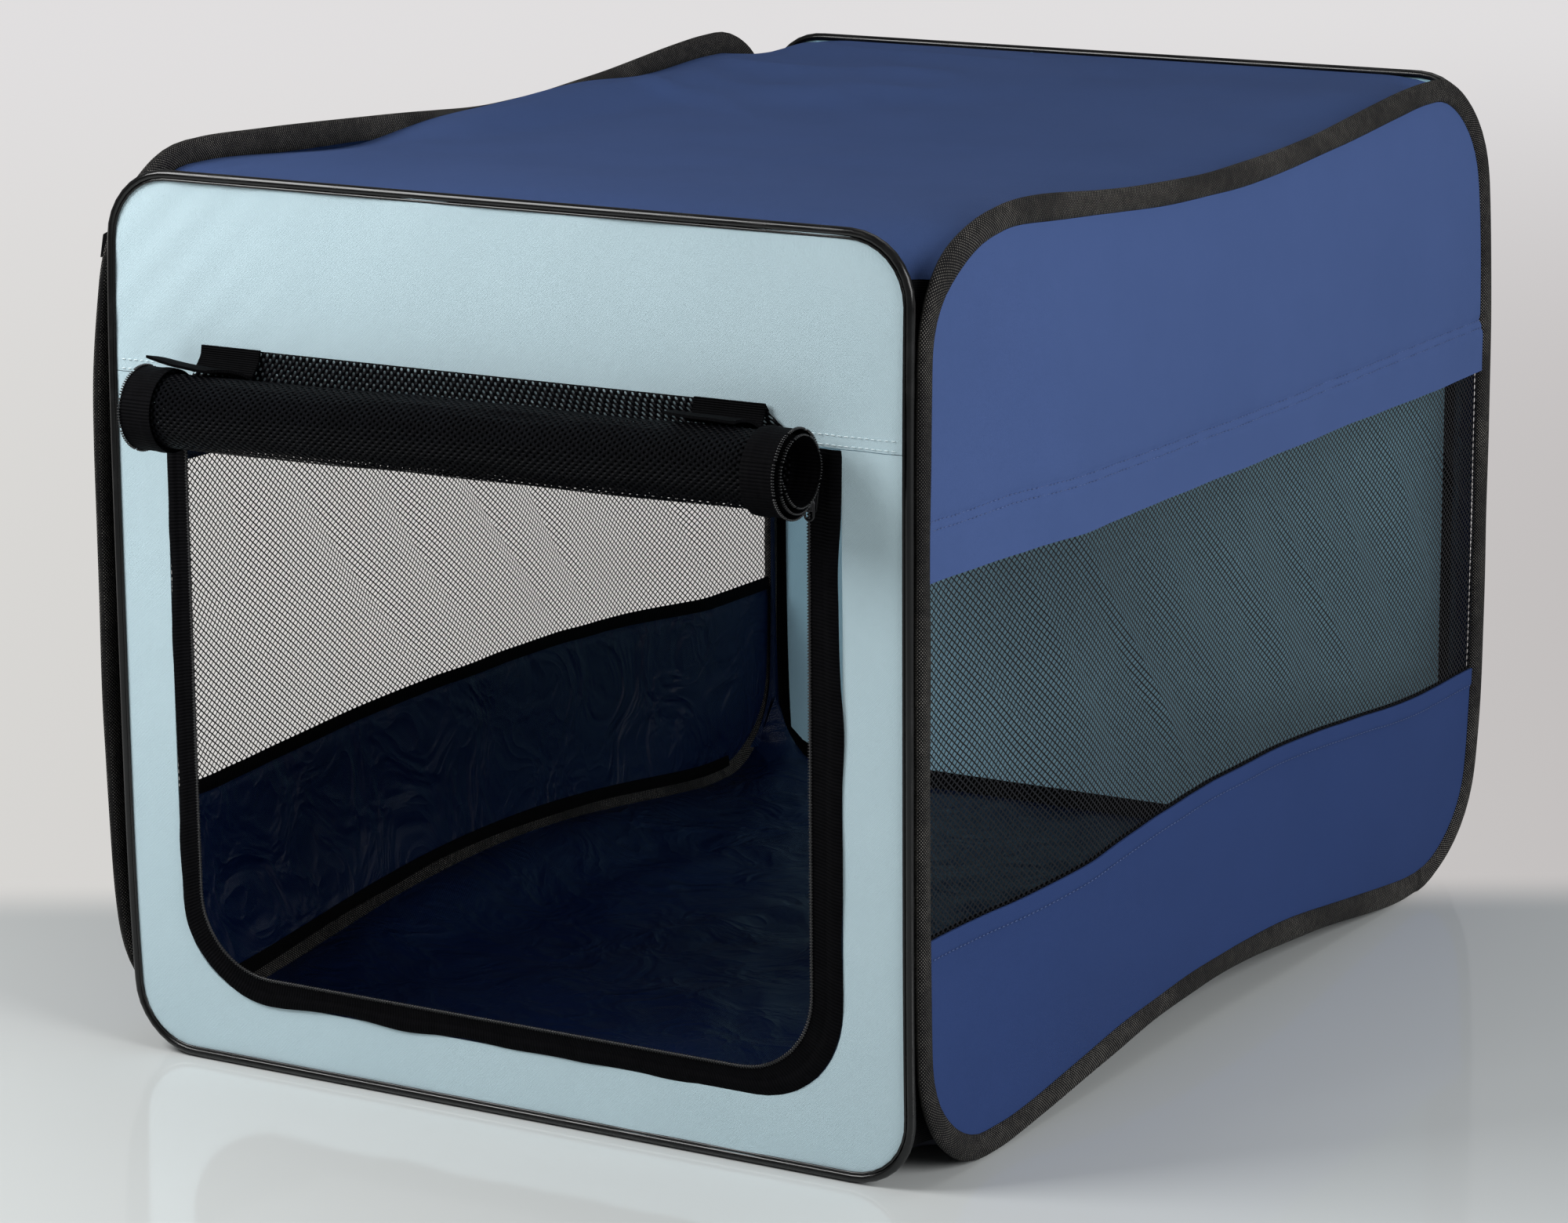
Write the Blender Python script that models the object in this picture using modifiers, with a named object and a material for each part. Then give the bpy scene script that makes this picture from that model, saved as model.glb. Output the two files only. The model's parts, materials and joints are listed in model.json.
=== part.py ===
"""A soft folding dog crate: four spring-steel hoops joined at the upright corners carry cloth and mesh
panels, and the zipped mesh door is rolled up over its opening. Metres, +Z up. The door faces -Y, the
right side faces +X, and the origin is on the floor's underside, under the middle of the crate.
Run it with blender --background --python part.py, or from Blender's text editor."""

import math

import bmesh
import bpy
from mathutils import Vector

# Overall sizes, between the middles of the end hoops' runs
CRATE_WIDTH = 0.45
CRATE_HEIGHT = 0.45
CRATE_LENGTH = 0.64

# Clearance between pieces that touch, and the cloth's thickness
GAP = 0.0003
CLOTH = 0.001

# End hoops: a steel wire inside a slotted PVC piping
PIPING_DIAMETER = 0.0045
PIPING_WALL = 0.0007
END_WIRE_DIAMETER = 0.0018
END_CORNER_RADIUS = 0.032
LEFT_EDGE_BOW = 0.005
RIGHT_EDGE_BOW = -0.0015

# Side hoops: a steel wire inside a flat tunnel of woven tape. Each side's bulge fades out towards the
# upright edge that is drawn in to its neighbour: front right and back left.
BINDING_WIDTH = 0.012
BINDING_THICKNESS = 0.006
BINDING_WALL = 0.0009
SIDE_WIRE_DIAMETER = 0.0024
SIDE_CORNER_RADIUS = 0.055
SIDE_OUTSET = 0.004
SIDE_SETBACK = 0.009
LEFT_BULGE = 0.018
RIGHT_BULGE = 0.010
DRAWN_IN_STRETCH = 0.046
DRAWN_IN_REACH = 0.11
WAIST_REACH_SHARE = 0.75
WAIST_RISE = 0.020
WAIST_DIP = 0.0145
MID_BULGE_LOSS_SHARE = 0.4

# Sewn lines on the panels
FRONT_SEAM_HEIGHT = 0.352
LOWER_BAND_HEIGHT = 0.120
UPPER_BAND_HEIGHT = 0.291

# Net of the side windows
NET_ROWS = 5
NET_STRAND = 0.005

# Door opening: the cloth beside and below it, and the zip's tape that shows inside its edge
OPENING_SIDE_CLOTH = 0.0335
OPENING_SILL = 0.035
OPENING_CORNER_RADIUS = 0.048
OPENING_SHIFT = -0.0025
ZIP_SIDE_TAPE = 0.01425
ZIP_SILL_TAPE = 0.0128
ZIP_CORNER_RADIUS = 0.040
ZIP_SHIFT = -0.0053
TEETH_DIAMETER = 0.002

# Door: sewn on over the front seam, and wound outwards into an eight-sided spiral. Its pitch clears a
# corner's reach past a facet's middle, so that the turns pass each other as the door unrolls.
DOOR_THICKNESS = 0.001
DOOR_HEM = 0.0173
DOOR_BOTTOM_CLEARANCE = 0.0018
ROLL_DROP = 0.0047
ROLL_RADIUS = 0.0216
ROLL_PITCH = 0.0029
ROLL_FACETS = 8
FOLD_INSET = 0.0006

# Zip sliders, which reach over the teeth towards the door, and their pulls
SLIDER_WIDTH = 0.007
SLIDER_REACH = 0.0015
SLIDER_HEIGHT = 0.011
SLIDER_THICKNESS = 0.0032
SLIDER_DROP = 0.0195
SLIDER_ROUNDING = 0.001
MOST_ROUNDING_SHARE = 0.45
PULL_WIDTH = 0.006
PULL_LENGTH = 0.0115
PULL_THICKNESS = 0.0012
PULL_ROUNDING = 0.0022
PULL_DROP = 0.0035

# Hook-and-loop straps
STRAP_WIDTH = 0.038
STRAP_THICKNESS = 0.0015
STRAP_RISE = 0.0135
STRAP_LIP_SHARE = 0.6
LEFT_STRAP_SHARE = -0.71
RIGHT_STRAP_SHARE = 0.565

# Tab on the left binding
TAB_LENGTH = 0.008
TAB_HEIGHT = 0.012
TAB_THICKNESS = 0.0015
TAB_LEVEL = 0.405

# Roof and floor cloths: each is creased lengthwise, off its middle, where it folds
CREASE_OFFSET = 0.020
FLOOR_RAMP = 0.055
CORNER_TURN_SHARE = 0.97
ROOF_CORNER_REACH = 0.055
ROOF_SAG_SHARE = 0.55
ROOF_TUCK = 0.004

# Counts of facets and rows
CORNER_STEPS = 5
EDGE_STEPS = 8
SECTION_STEPS = 6
LOWER_BAND_ROWS = 2
UPPER_BAND_ROWS = 3
PANEL_COLUMNS = 14
CLOTH_COLUMNS = 7
CLOTH_ROWS = 14

# Places worked out from the sizes above
END_BASE = PIPING_DIAMETER / 2
END_TOP = END_BASE + CRATE_HEIGHT
END_X = CRATE_WIDTH / 2
END_Y = CRATE_LENGTH / 2
END_INSET = END_WIRE_DIAMETER / 2 + GAP
SIDE_X = END_X + SIDE_OUTSET
SIDE_Y = END_Y - SIDE_SETBACK
SIDE_BASE = BINDING_WIDTH / 2
SIDE_TOP = END_TOP
SIDE_INSET = SIDE_WIRE_DIAMETER / 2 + GAP
SLOT = CLOTH + 2 * GAP
DOOR_Y = -(END_Y + TEETH_DIAMETER / 2 + GAP + DOOR_THICKNESS / 2)
WAIST_REACH = WAIST_REACH_SHARE * END_Y
OPENING_WIDTH = CRATE_WIDTH - 2 * OPENING_SIDE_CLOTH
ZIP_WIDTH = OPENING_WIDTH - 2 * ZIP_SIDE_TAPE
ZIP_SILL = OPENING_SILL + ZIP_SILL_TAPE
DOOR_TOP = FRONT_SEAM_HEIGHT + DOOR_HEM
ROLL_HEIGHT = FRONT_SEAM_HEIGHT - ROLL_DROP
SLIDER_TOP = FRONT_SEAM_HEIGHT - SLIDER_DROP
DOOR_WIDTH = ZIP_WIDTH - 2 * (SLIDER_REACH + 2 * GAP)
DOOR_CORNER_RADIUS = ZIP_CORNER_RADIUS - SLIDER_REACH
ROLL_Y = DOOR_Y - ROLL_RADIUS * math.cos(math.pi / ROLL_FACETS)
CLOTH_EDGE_X = SIDE_X - BINDING_THICKNESS / 2 - GAP
CLOTH_EDGE_Y = END_Y - PIPING_DIAMETER / 2 - 2 * GAP
RIGHT = 1
LEFT = -1


def clear_scene():
    for obj in list(bpy.data.objects):
        bpy.data.objects.remove(obj, do_unlink=True)


def make_material(name, colour, roughness, metallic=0.0):
    material = bpy.data.materials.new(name)
    material.use_nodes = True
    shader = material.node_tree.nodes["Principled BSDF"]
    shader.inputs["Base Color"].default_value = (*colour, 1.0)
    shader.inputs["Roughness"].default_value = roughness
    shader.inputs["Metallic"].default_value = metallic
    return material


def add_object(name, mesh, material):
    """Puts the mesh in the crate's collection, with its faces turned outwards and its own material."""
    shape = bmesh.new()
    shape.from_mesh(mesh)
    bmesh.ops.recalc_face_normals(shape, faces=shape.faces)
    if shape.calc_volume(signed=True) < 0:
        bmesh.ops.reverse_faces(shape, faces=shape.faces)
    shape.to_mesh(mesh)
    shape.free()
    mesh.materials.clear()
    mesh.materials.append(material)
    mesh.name = name
    obj = bpy.data.objects.new(name, mesh)
    CRATE.objects.link(obj)
    return obj


def move_origin(obj, point):
    """Moves the origin to a point, such as one on the joint's axis, and leaves the shape where it is."""
    point = Vector(point)
    for vertex in obj.data.vertices:
        vertex.co -= point
    obj.location = point


def shade_round(obj):
    obj.data.shade_smooth()
    obj.data.set_sharp_from_angle(angle=math.radians(40))


def poly_curve(name, loops, closed=True, flat=False):
    """A curve object with one straight-edged spline for each list of points."""
    data = bpy.data.curves.new(name, "CURVE")
    data.dimensions = "2D" if flat else "3D"
    data.twist_mode = "Z_UP"
    for points in loops:
        spline = data.splines.new("POLY")
        spline.points.add(len(points) - 1)
        for node, point in zip(spline.points, points):
            node.co = (point[0], point[1], 0.0, 1.0)
        spline.use_cyclic_u = closed
    obj = bpy.data.objects.new(name, data)
    bpy.context.scene.collection.objects.link(obj)
    return obj


def curve_to_mesh(obj):
    """The mesh of a curve object, with its caps welded. The curve is removed."""
    bpy.context.view_layer.update()
    graph = bpy.context.evaluated_depsgraph_get()
    mesh = bpy.data.meshes.new_from_object(obj.evaluated_get(graph))
    bpy.data.objects.remove(obj, do_unlink=True)
    shape = bmesh.new()
    shape.from_mesh(mesh)
    bmesh.ops.remove_doubles(shape, verts=shape.verts, dist=GAP / 100)
    shape.to_mesh(mesh)
    shape.free()
    return mesh


def place_vertices(mesh, place):
    for vertex in mesh.vertices:
        vertex.co = place(vertex.co)


def plate(name, outline, thickness, place, material):
    """A flat outline made thick, whose points (a, b, depth) are then put in place."""
    curve = poly_curve(name, [outline], flat=True)
    curve.data.fill_mode = "BOTH"
    curve.data.extrude = thickness / 2
    mesh = curve_to_mesh(curve)
    place_vertices(mesh, place)
    return add_object(name, mesh, material)


def tube(name, path, diameter, place, material, closed=True):
    """A round wire along the path."""
    curve = poly_curve(name, [path], closed)
    curve.data.bevel_depth = diameter / 2
    curve.data.bevel_resolution = 1
    curve.data.use_fill_caps = not closed
    mesh = curve_to_mesh(curve)
    place_vertices(mesh, place)
    obj = add_object(name, mesh, material)
    shade_round(obj)
    return obj


def slotted_profile(width, thickness, wall, steps):
    """The section of a tunnel round a wire, open towards the panel whose edge it holds."""
    points = []
    for shrink, order in ((0.0, 1), (wall, -1)):
        half_width = width / 2 - shrink
        half_thickness = thickness / 2 - shrink
        start = math.asin(SLOT / 2 / half_thickness)
        arc = []
        for step in range(steps + 1):
            angle = start + (2 * math.pi - 2 * start) * step / steps
            arc.append((-half_width * math.cos(angle), half_thickness * math.sin(angle)))
        points += arc[::order]
    return points


def tunnel(name, path, profile, place, material):
    """A slotted section swept round a closed path."""
    section = poly_curve(name + "_section", [profile], flat=True)
    curve = poly_curve(name, [path])
    curve.data.bevel_mode = "OBJECT"
    curve.data.bevel_object = section
    mesh = curve_to_mesh(curve)
    bpy.data.objects.remove(section, do_unlink=True)
    place_vertices(mesh, place)
    obj = add_object(name, mesh, material)
    shade_round(obj)
    return obj


def sheet(name, columns, rows, place, through, material, strand=0.0):
    """A grid of cloth with its thickness as a vector: place(u, v) gives each point of its middle for u
    and v from 0 to 1. With a strand's width it is a net, because each cell is opened."""
    shape = bmesh.new()
    bmesh.ops.create_grid(shape, x_segments=columns, y_segments=rows, size=1)
    through = Vector(through)
    for vertex in shape.verts:
        vertex.co = place((vertex.co.x + 1) / 2, (vertex.co.y + 1) / 2) - through / 2
    if strand:
        shape.normal_update()
        cells = list(shape.faces)
        bmesh.ops.inset_individual(shape, faces=cells, thickness=strand / 2)
        bmesh.ops.delete(shape, geom=cells, context="FACES")
    pushed = bmesh.ops.extrude_face_region(shape, geom=list(shape.faces))["geom"]
    moved = [item for item in pushed if isinstance(item, bmesh.types.BMVert)]
    bmesh.ops.translate(shape, verts=moved, vec=through)
    mesh = bpy.data.meshes.new(name)
    shape.to_mesh(mesh)
    shape.free()
    return add_object(name, mesh, material)


def rounded_box(name, size, centre, rounding, material):
    shape = bmesh.new()
    bmesh.ops.create_cube(shape, size=1)
    for vertex in shape.verts:
        vertex.co = Vector([side * part for side, part in zip(size, vertex.co)]) + Vector(centre)
    mesh = bpy.data.meshes.new(name)
    shape.to_mesh(mesh)
    shape.free()
    obj = add_object(name, mesh, material)
    bevel = obj.modifiers.new("rounding", "BEVEL")
    bevel.width = min(rounding, MOST_ROUNDING_SHARE * min(size))
    bevel.segments = 2
    return obj


def arc(centre, radius, start, end, steps=CORNER_STEPS):
    """Points on an arc, with angles in degrees counted from the first axis towards the second."""
    points = []
    for step in range(steps + 1):
        angle = math.radians(start + (end - start) * step / steps)
        points.append((centre[0] + radius * math.cos(angle), centre[1] + radius * math.sin(angle)))
    return points


def with_steps(points, levels, places=()):
    """The closed outline with its upright runs cut at the levels and its level runs at the places, so
    that neighbours which share them bend at the same points."""
    stepped = []
    for here, there in zip(points, points[1:] + points[:1]):
        stepped.append(here)
        for axis, cuts in ((0, places), (1, levels)):
            start = here[axis]
            end = there[axis]
            if abs(here[1 - axis] - there[1 - axis]) > GAP / 10:
                continue
            inner = [cut for cut in cuts if min(start, end) + GAP < cut < max(start, end) - GAP]
            for cut in sorted(inner, reverse=end < start):
                stepped.append((cut, here[1]) if axis == 0 else (here[0], cut))
    return stepped


def even_levels(low, high, count):
    return [low + (high - low) * step / count for step in range(count + 1)]


def end_levels():
    """The levels at which the end hoops and panels bend."""
    low = END_BASE + END_CORNER_RADIUS
    high = END_TOP - END_CORNER_RADIUS
    return even_levels(low, high, EDGE_STEPS) + [FRONT_SEAM_HEIGHT]


def side_levels():
    """The levels at which the side hoops and panels bend: lower band, window, upper band."""
    lower = even_levels(SIDE_BASE + SIDE_CORNER_RADIUS, LOWER_BAND_HEIGHT, LOWER_BAND_ROWS)
    window = even_levels(LOWER_BAND_HEIGHT, UPPER_BAND_HEIGHT, NET_ROWS)
    upper = even_levels(UPPER_BAND_HEIGHT, SIDE_TOP - SIDE_CORNER_RADIUS, UPPER_BAND_ROWS)
    return lower, window, upper


def rounded_rectangle(half, low, high, radius):
    """An outline with four round corners, counter-clockwise from the lower right."""
    return (
        arc((half - radius, low + radius), radius, -90, 0)
        + arc((half - radius, high - radius), radius, 0, 90)
        + arc((radius - half, high - radius), radius, 90, 180)
        + arc((radius - half, low + radius), radius, 180, 270)
    )


def ramp(value):
    """A smooth rise from 0 to 1."""
    value = min(1.0, max(0.0, value))
    return value * value * (3 - 2 * value)


def bow_share(share):
    """How far an upright edge bows out at this share of its height: full over the middle."""
    return 1 - (2 * share - 1) ** 4


def waist_share(y):
    """How much of the side hoops' waist there is at this place along the crate."""
    return max(0.0, 1 - (y / WAIST_REACH) ** 2) ** 1.5


def end_place(y):
    """Puts a point (x, z, depth) of an end panel or hoop in place, with its upright edges bowed."""

    def place(point):
        x, z, depth = point
        share = min(1.0, max(0.0, (z - END_BASE) / CRATE_HEIGHT))
        bow = RIGHT_EDGE_BOW if x > 0 else -LEFT_EDGE_BOW
        across = min(1.0, abs(x) / END_X) ** 3
        return Vector((x + bow * bow_share(share) * across, y + depth, z))

    return place


def side_place(side):
    """Puts a point (y, z, depth) of a side panel or hoop in place, with its waist and its bulge."""
    bulge = RIGHT_BULGE if side == RIGHT else LEFT_BULGE

    def place(point):
        y, z, depth = point
        share = (z - SIDE_BASE) / (SIDE_TOP - SIDE_BASE)
        waist = waist_share(y)
        level = z + waist * (WAIST_RISE * (1 - share) - WAIST_DIP * share)
        inside = min(1.0, max(0.0, share))
        drawn_in = ramp((SIDE_Y + side * y - DRAWN_IN_STRETCH) / DRAWN_IN_REACH)
        out = bulge * drawn_in * bow_share(inside) * (1 - MID_BULGE_LOSS_SHARE * waist)
        return Vector((side * (SIDE_X + out + depth), y, level))

    return place


def make_end_hoop(name, y):
    """The wire and the piping of the front or the back."""
    path = with_steps(rounded_rectangle(END_X, END_BASE, END_TOP, END_CORNER_RADIUS), end_levels())
    place = end_place(y)
    tube(name + "_hoop_wire", path, END_WIRE_DIAMETER, place, STEEL)
    profile = slotted_profile(PIPING_DIAMETER, PIPING_DIAMETER, PIPING_WALL, SECTION_STEPS)
    tunnel(name + "_piping", path, profile, place, PIPING)


def make_side_hoop(name, side):
    """The wire and the woven binding of the right or the left side."""
    straight = SIDE_Y - SIDE_CORNER_RADIUS
    places = even_levels(-straight, straight, PANEL_COLUMNS)
    outline = rounded_rectangle(SIDE_Y, SIDE_BASE, SIDE_TOP, SIDE_CORNER_RADIUS)
    lower, window, upper = side_levels()
    path = with_steps(outline, lower + window[1:] + upper[1:], places)
    place = side_place(side)
    tube(name + "_hoop_wire", path, SIDE_WIRE_DIAMETER, place, STEEL)
    profile = slotted_profile(BINDING_WIDTH, BINDING_THICKNESS, BINDING_WALL, SECTION_STEPS)
    tunnel(name + "_binding", path, profile, place, BINDING)


def end_outline():
    return rounded_rectangle(
        END_X - END_INSET, END_BASE + END_INSET, END_TOP - END_INSET, END_CORNER_RADIUS - END_INSET
    )


def make_front_panels():
    """The piece above the seam, and the frame below it with the door's opening."""
    place = end_place(-END_Y)
    half = END_X - END_INSET
    radius = END_CORNER_RADIUS - END_INSET
    top = END_TOP - END_INSET
    upper = (
        [(-half, FRONT_SEAM_HEIGHT + GAP / 2), (half, FRONT_SEAM_HEIGHT + GAP / 2)]
        + arc((half - radius, top - radius), radius, 0, 90)
        + arc((radius - half, top - radius), radius, 90, 180)
    )
    plate("front_upper_panel", with_steps(upper, end_levels()), CLOTH, place, PALE_CLOTH)
    low = END_BASE + END_INSET
    seam = FRONT_SEAM_HEIGHT - GAP / 2
    left = OPENING_SHIFT - OPENING_WIDTH / 2
    right = OPENING_SHIFT + OPENING_WIDTH / 2
    turn = OPENING_CORNER_RADIUS
    frame = (
        [(-half, seam)]
        + arc((radius - half, low + radius), radius, 180, 270)
        + arc((half - radius, low + radius), radius, -90, 0)
        + [(half, seam), (right, seam)]
        + arc((right - turn, OPENING_SILL + turn), turn, 0, -90)
        + arc((left + turn, OPENING_SILL + turn), turn, 270, 180)
        + [(left, seam)]
    )
    plate("front_frame_panel", with_steps(frame, end_levels()), CLOTH, place, PALE_CLOTH)


def make_back_panel():
    plate("back_panel", with_steps(end_outline(), end_levels()), CLOTH, end_place(END_Y), PALE_CLOTH)


def make_frame_zip():
    """The U of zip tape in the opening, and the teeth along its inner edge."""
    place = end_place(-END_Y)
    seam = FRONT_SEAM_HEIGHT - GAP
    outer_left = OPENING_SHIFT - OPENING_WIDTH / 2 + GAP
    outer_right = OPENING_SHIFT + OPENING_WIDTH / 2 - GAP
    outer_sill = OPENING_SILL + GAP
    outer_turn = OPENING_CORNER_RADIUS - GAP
    edge = TEETH_DIAMETER / 2 + GAP
    inner_left = ZIP_SHIFT - ZIP_WIDTH / 2 - edge
    inner_right = ZIP_SHIFT + ZIP_WIDTH / 2 + edge
    inner_sill = ZIP_SILL - edge
    inner_turn = ZIP_CORNER_RADIUS + edge
    outline = (
        [(outer_left, seam)]
        + arc((outer_left + outer_turn, outer_sill + outer_turn), outer_turn, 180, 270)
        + arc((outer_right - outer_turn, outer_sill + outer_turn), outer_turn, -90, 0)
        + [(outer_right, seam), (inner_right, seam)]
        + arc((inner_right - inner_turn, inner_sill + inner_turn), inner_turn, 0, -90)
        + arc((inner_left + inner_turn, inner_sill + inner_turn), inner_turn, 270, 180)
        + [(inner_left, seam)]
    )
    plate("frame_zip_tape", outline, CLOTH, place, TAPE)
    left = ZIP_SHIFT - ZIP_WIDTH / 2
    right = ZIP_SHIFT + ZIP_WIDTH / 2
    turn = ZIP_CORNER_RADIUS
    path = (
        [(left, seam)]
        + arc((left + turn, ZIP_SILL + turn), turn, 180, 270)
        + arc((right - turn, ZIP_SILL + turn), turn, -90, 0)
        + [(right, seam)]
    )
    tube("frame_zip_teeth", path, TEETH_DIAMETER, place, TEETH, closed=False)


def side_row(z):
    """Half the length of a side panel at this level, inside its binding's round corners."""
    half = SIDE_Y - SIDE_INSET
    radius = SIDE_CORNER_RADIUS - SIDE_INSET
    into_corner = max(SIDE_BASE + SIDE_INSET + radius - z, z - (SIDE_TOP - SIDE_INSET - radius), 0.0)
    return half - radius + math.sqrt(max(0.0, radius**2 - into_corner**2))


def side_sheet(name, side, levels, material, strand=0.0):
    """A piece of a side panel that reaches from binding to binding at each of its levels."""
    place = side_place(side)

    def at(u, v):
        z = levels[round(v * (len(levels) - 1))]
        return place(((2 * u - 1) * side_row(z), z, 0.0))

    through = (CLOTH, 0.0, 0.0)
    return sheet(name, PANEL_COLUMNS, len(levels) - 1, at, through, material, strand)


def make_side_panels(name, side):
    """The blue band at the top, the mesh window and the blue band at the bottom."""
    radius = SIDE_CORNER_RADIUS - SIDE_INSET
    lower, window, upper = side_levels()
    turns = [math.radians(90 * step / CORNER_STEPS) for step in range(CORNER_STEPS + 1)]
    upper = upper[:-1] + [upper[-1] + radius * math.sin(turn) for turn in turns]
    lower = [lower[0] - radius * math.cos(turn) for turn in turns] + lower[1:]
    upper[0] += GAP / 2
    lower[-1] -= GAP / 2
    window = [window[0] + GAP / 2, *window[1:-1], window[-1] - GAP / 2]
    side_sheet(name + "_upper_band", side, upper, BLUE_CLOTH)
    side_sheet(name + "_mesh_window", side, window, MESH_CLOTH, NET_STRAND)
    side_sheet(name + "_lower_band", side, lower, BLUE_CLOTH)


def corner_drop(distance, start, radius):
    """How far a round corner has turned down at this distance from the middle."""
    into = min(max(0.0, distance - start), CORNER_TURN_SHARE * radius)
    return radius - math.sqrt(radius**2 - into**2)


def roof_point(x, y):
    """The roof's middle surface: it follows the hoops at its edges and sags between them."""
    near_end = ramp((abs(y) - (CLOTH_EDGE_Y - ROOF_CORNER_REACH)) / ROOF_CORNER_REACH)
    near_side = ramp((abs(x) - (CLOTH_EDGE_X - ROOF_CORNER_REACH)) / ROOF_CORNER_REACH)
    end_drop = corner_drop(abs(x), END_X - END_CORNER_RADIUS, END_CORNER_RADIUS)
    side_drop = corner_drop(abs(y), SIDE_Y - SIDE_CORNER_RADIUS, SIDE_CORNER_RADIUS)
    drop = min(end_drop * near_end + side_drop * near_side, END_CORNER_RADIUS)
    across = abs(x) / CLOTH_EDGE_X
    sag = WAIST_DIP * waist_share(y) * (ROOF_SAG_SHARE + (1 - ROOF_SAG_SHARE) * across**2)
    return Vector((x, y, END_TOP - CLOTH - drop - sag - ROOF_TUCK * near_side))


def floor_point(x, y):
    """The floor's middle surface: flat on the ground, and drawn up to the side hoops' waist."""
    rise = ramp((abs(x) - (CLOTH_EDGE_X - FLOOR_RAMP)) / FLOOR_RAMP)
    return Vector((x, y, CLOTH / 2 + rise * (SIDE_BASE - CLOTH / 2 + WAIST_RISE * waist_share(y))))


def make_cloth_halves(name, surface, crease, material, hinge_height):
    """A roof or floor in its two halves, which meet at a lengthwise crease and fold at the sides."""
    for side_name, side in (("right", RIGHT), ("left", LEFT)):
        start = crease + side * GAP / 2

        def at(u, v, start=start, side=side):
            x = start + (side * CLOTH_EDGE_X - start) * u
            return surface(x, (2 * v - 1) * CLOTH_EDGE_Y)

        obj = sheet(f"{name}_{side_name}", CLOTH_COLUMNS, CLOTH_ROWS, at, (0.0, 0.0, CLOTH), material)
        move_origin(obj, (side * CLOTH_EDGE_X, 0.0, hinge_height))


def make_roof_and_floor():
    make_cloth_halves("roof_panel", roof_point, -CREASE_OFFSET, BLUE_CLOTH, END_TOP - CLOTH)
    make_cloth_halves("floor_panel", floor_point, CREASE_OFFSET, FLOOR_CLOTH, SIDE_BASE)


def roll_corner(index):
    """A corner of the wound door's section, as (y, z), counted from the sewn edge's fold."""
    turn = 2 * math.pi / ROLL_FACETS
    angle = turn * (index - 0.5)
    radius = ROLL_RADIUS - ROLL_PITCH * index / ROLL_FACETS
    return Vector((ROLL_Y + radius * math.cos(angle), ROLL_HEIGHT - radius * math.sin(angle)))


def door_folds():
    """The corners that the door bends at, from its first fold to its bottom edge."""
    left = roll_corner(1).y - (ZIP_SILL + DOOR_BOTTOM_CLEARANCE)
    corners = [roll_corner(1)]
    index = 2
    while left > 2 * FOLD_INSET:
        there = roll_corner(index)
        run = there - corners[-1]
        length = min(run.length, left)
        corners.append(corners[-1] + run.normalized() * length)
        left -= length
        index += 1
    return corners


def make_door():
    """The sewn strip above the first fold, and a strip for each facet of the roll."""
    corners = door_folds()
    lengths = [(b - a).length for a, b in zip(corners, corners[1:])]
    whole = sum(lengths)
    half = DOOR_WIDTH / 2
    fold = corners[0].y + FOLD_INSET

    def header(u, v):
        return Vector((ZIP_SHIFT + (2 * u - 1) * half, DOOR_Y, fold + (DOOR_TOP - fold) * v))

    sheet("door_header", 1, 1, header, (0.0, DOOR_THICKNESS, 0.0), MESH_CLOTH)
    left = whole
    for number, (start, end, length) in enumerate(zip(corners, corners[1:], lengths), 1):
        along = (end - start).normalized()
        last = length - (FOLD_INSET if number < len(lengths) else 0.0)
        rows = 1 if left - length > DOOR_CORNER_RADIUS else CORNER_STEPS

        def at(u, v, start=start, along=along, last=last, left=left):
            run = FOLD_INSET + (last - FOLD_INSET) * v
            point = start + along * run
            into_corner = max(0.0, DOOR_CORNER_RADIUS - (left - run))
            cut = DOOR_CORNER_RADIUS - math.sqrt(max(0.0, DOOR_CORNER_RADIUS**2 - into_corner**2))
            return Vector((ZIP_SHIFT + (2 * u - 1) * (half - cut), point.x, point.y))

        through = Vector((0.0, along.y, -along.x)) * DOOR_THICKNESS
        strip = sheet(f"door_strip_{number:02d}", 1, rows, at, through, MESH_CLOTH)
        move_origin(strip, (0.0, start.x, start.y))
        left -= length


def make_sliders():
    """A slider on each upright run of the zip, parked at the top, with its pull hanging."""
    front = -(END_Y + TEETH_DIAMETER / 2 + GAP)
    for name, side in (("right", RIGHT), ("left", LEFT)):
        x = ZIP_SHIFT + side * (ZIP_WIDTH / 2 - SLIDER_REACH + SLIDER_WIDTH / 2)
        size = (SLIDER_WIDTH, SLIDER_THICKNESS, SLIDER_HEIGHT)
        centre = (x, front - SLIDER_THICKNESS / 2, SLIDER_TOP - SLIDER_HEIGHT / 2)
        rounded_box("zip_slider_" + name, size, centre, SLIDER_ROUNDING, METAL)
        pull_y = front - SLIDER_THICKNESS - GAP - PULL_THICKNESS / 2
        pull_top = SLIDER_TOP - PULL_DROP
        half = PULL_WIDTH / 2
        round_off = min(PULL_ROUNDING, half)
        outline = rounded_rectangle(half, pull_top - PULL_LENGTH, pull_top, round_off)

        def place(point, x=x, pull_y=pull_y):
            return Vector((x + point[0], pull_y + point[2], point[1]))

        pull = plate("zip_pull_" + name, outline, PULL_THICKNESS, place, METAL)
        move_origin(pull, (x, pull_y, pull_top - PULL_THICKNESS / 2))


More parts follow.
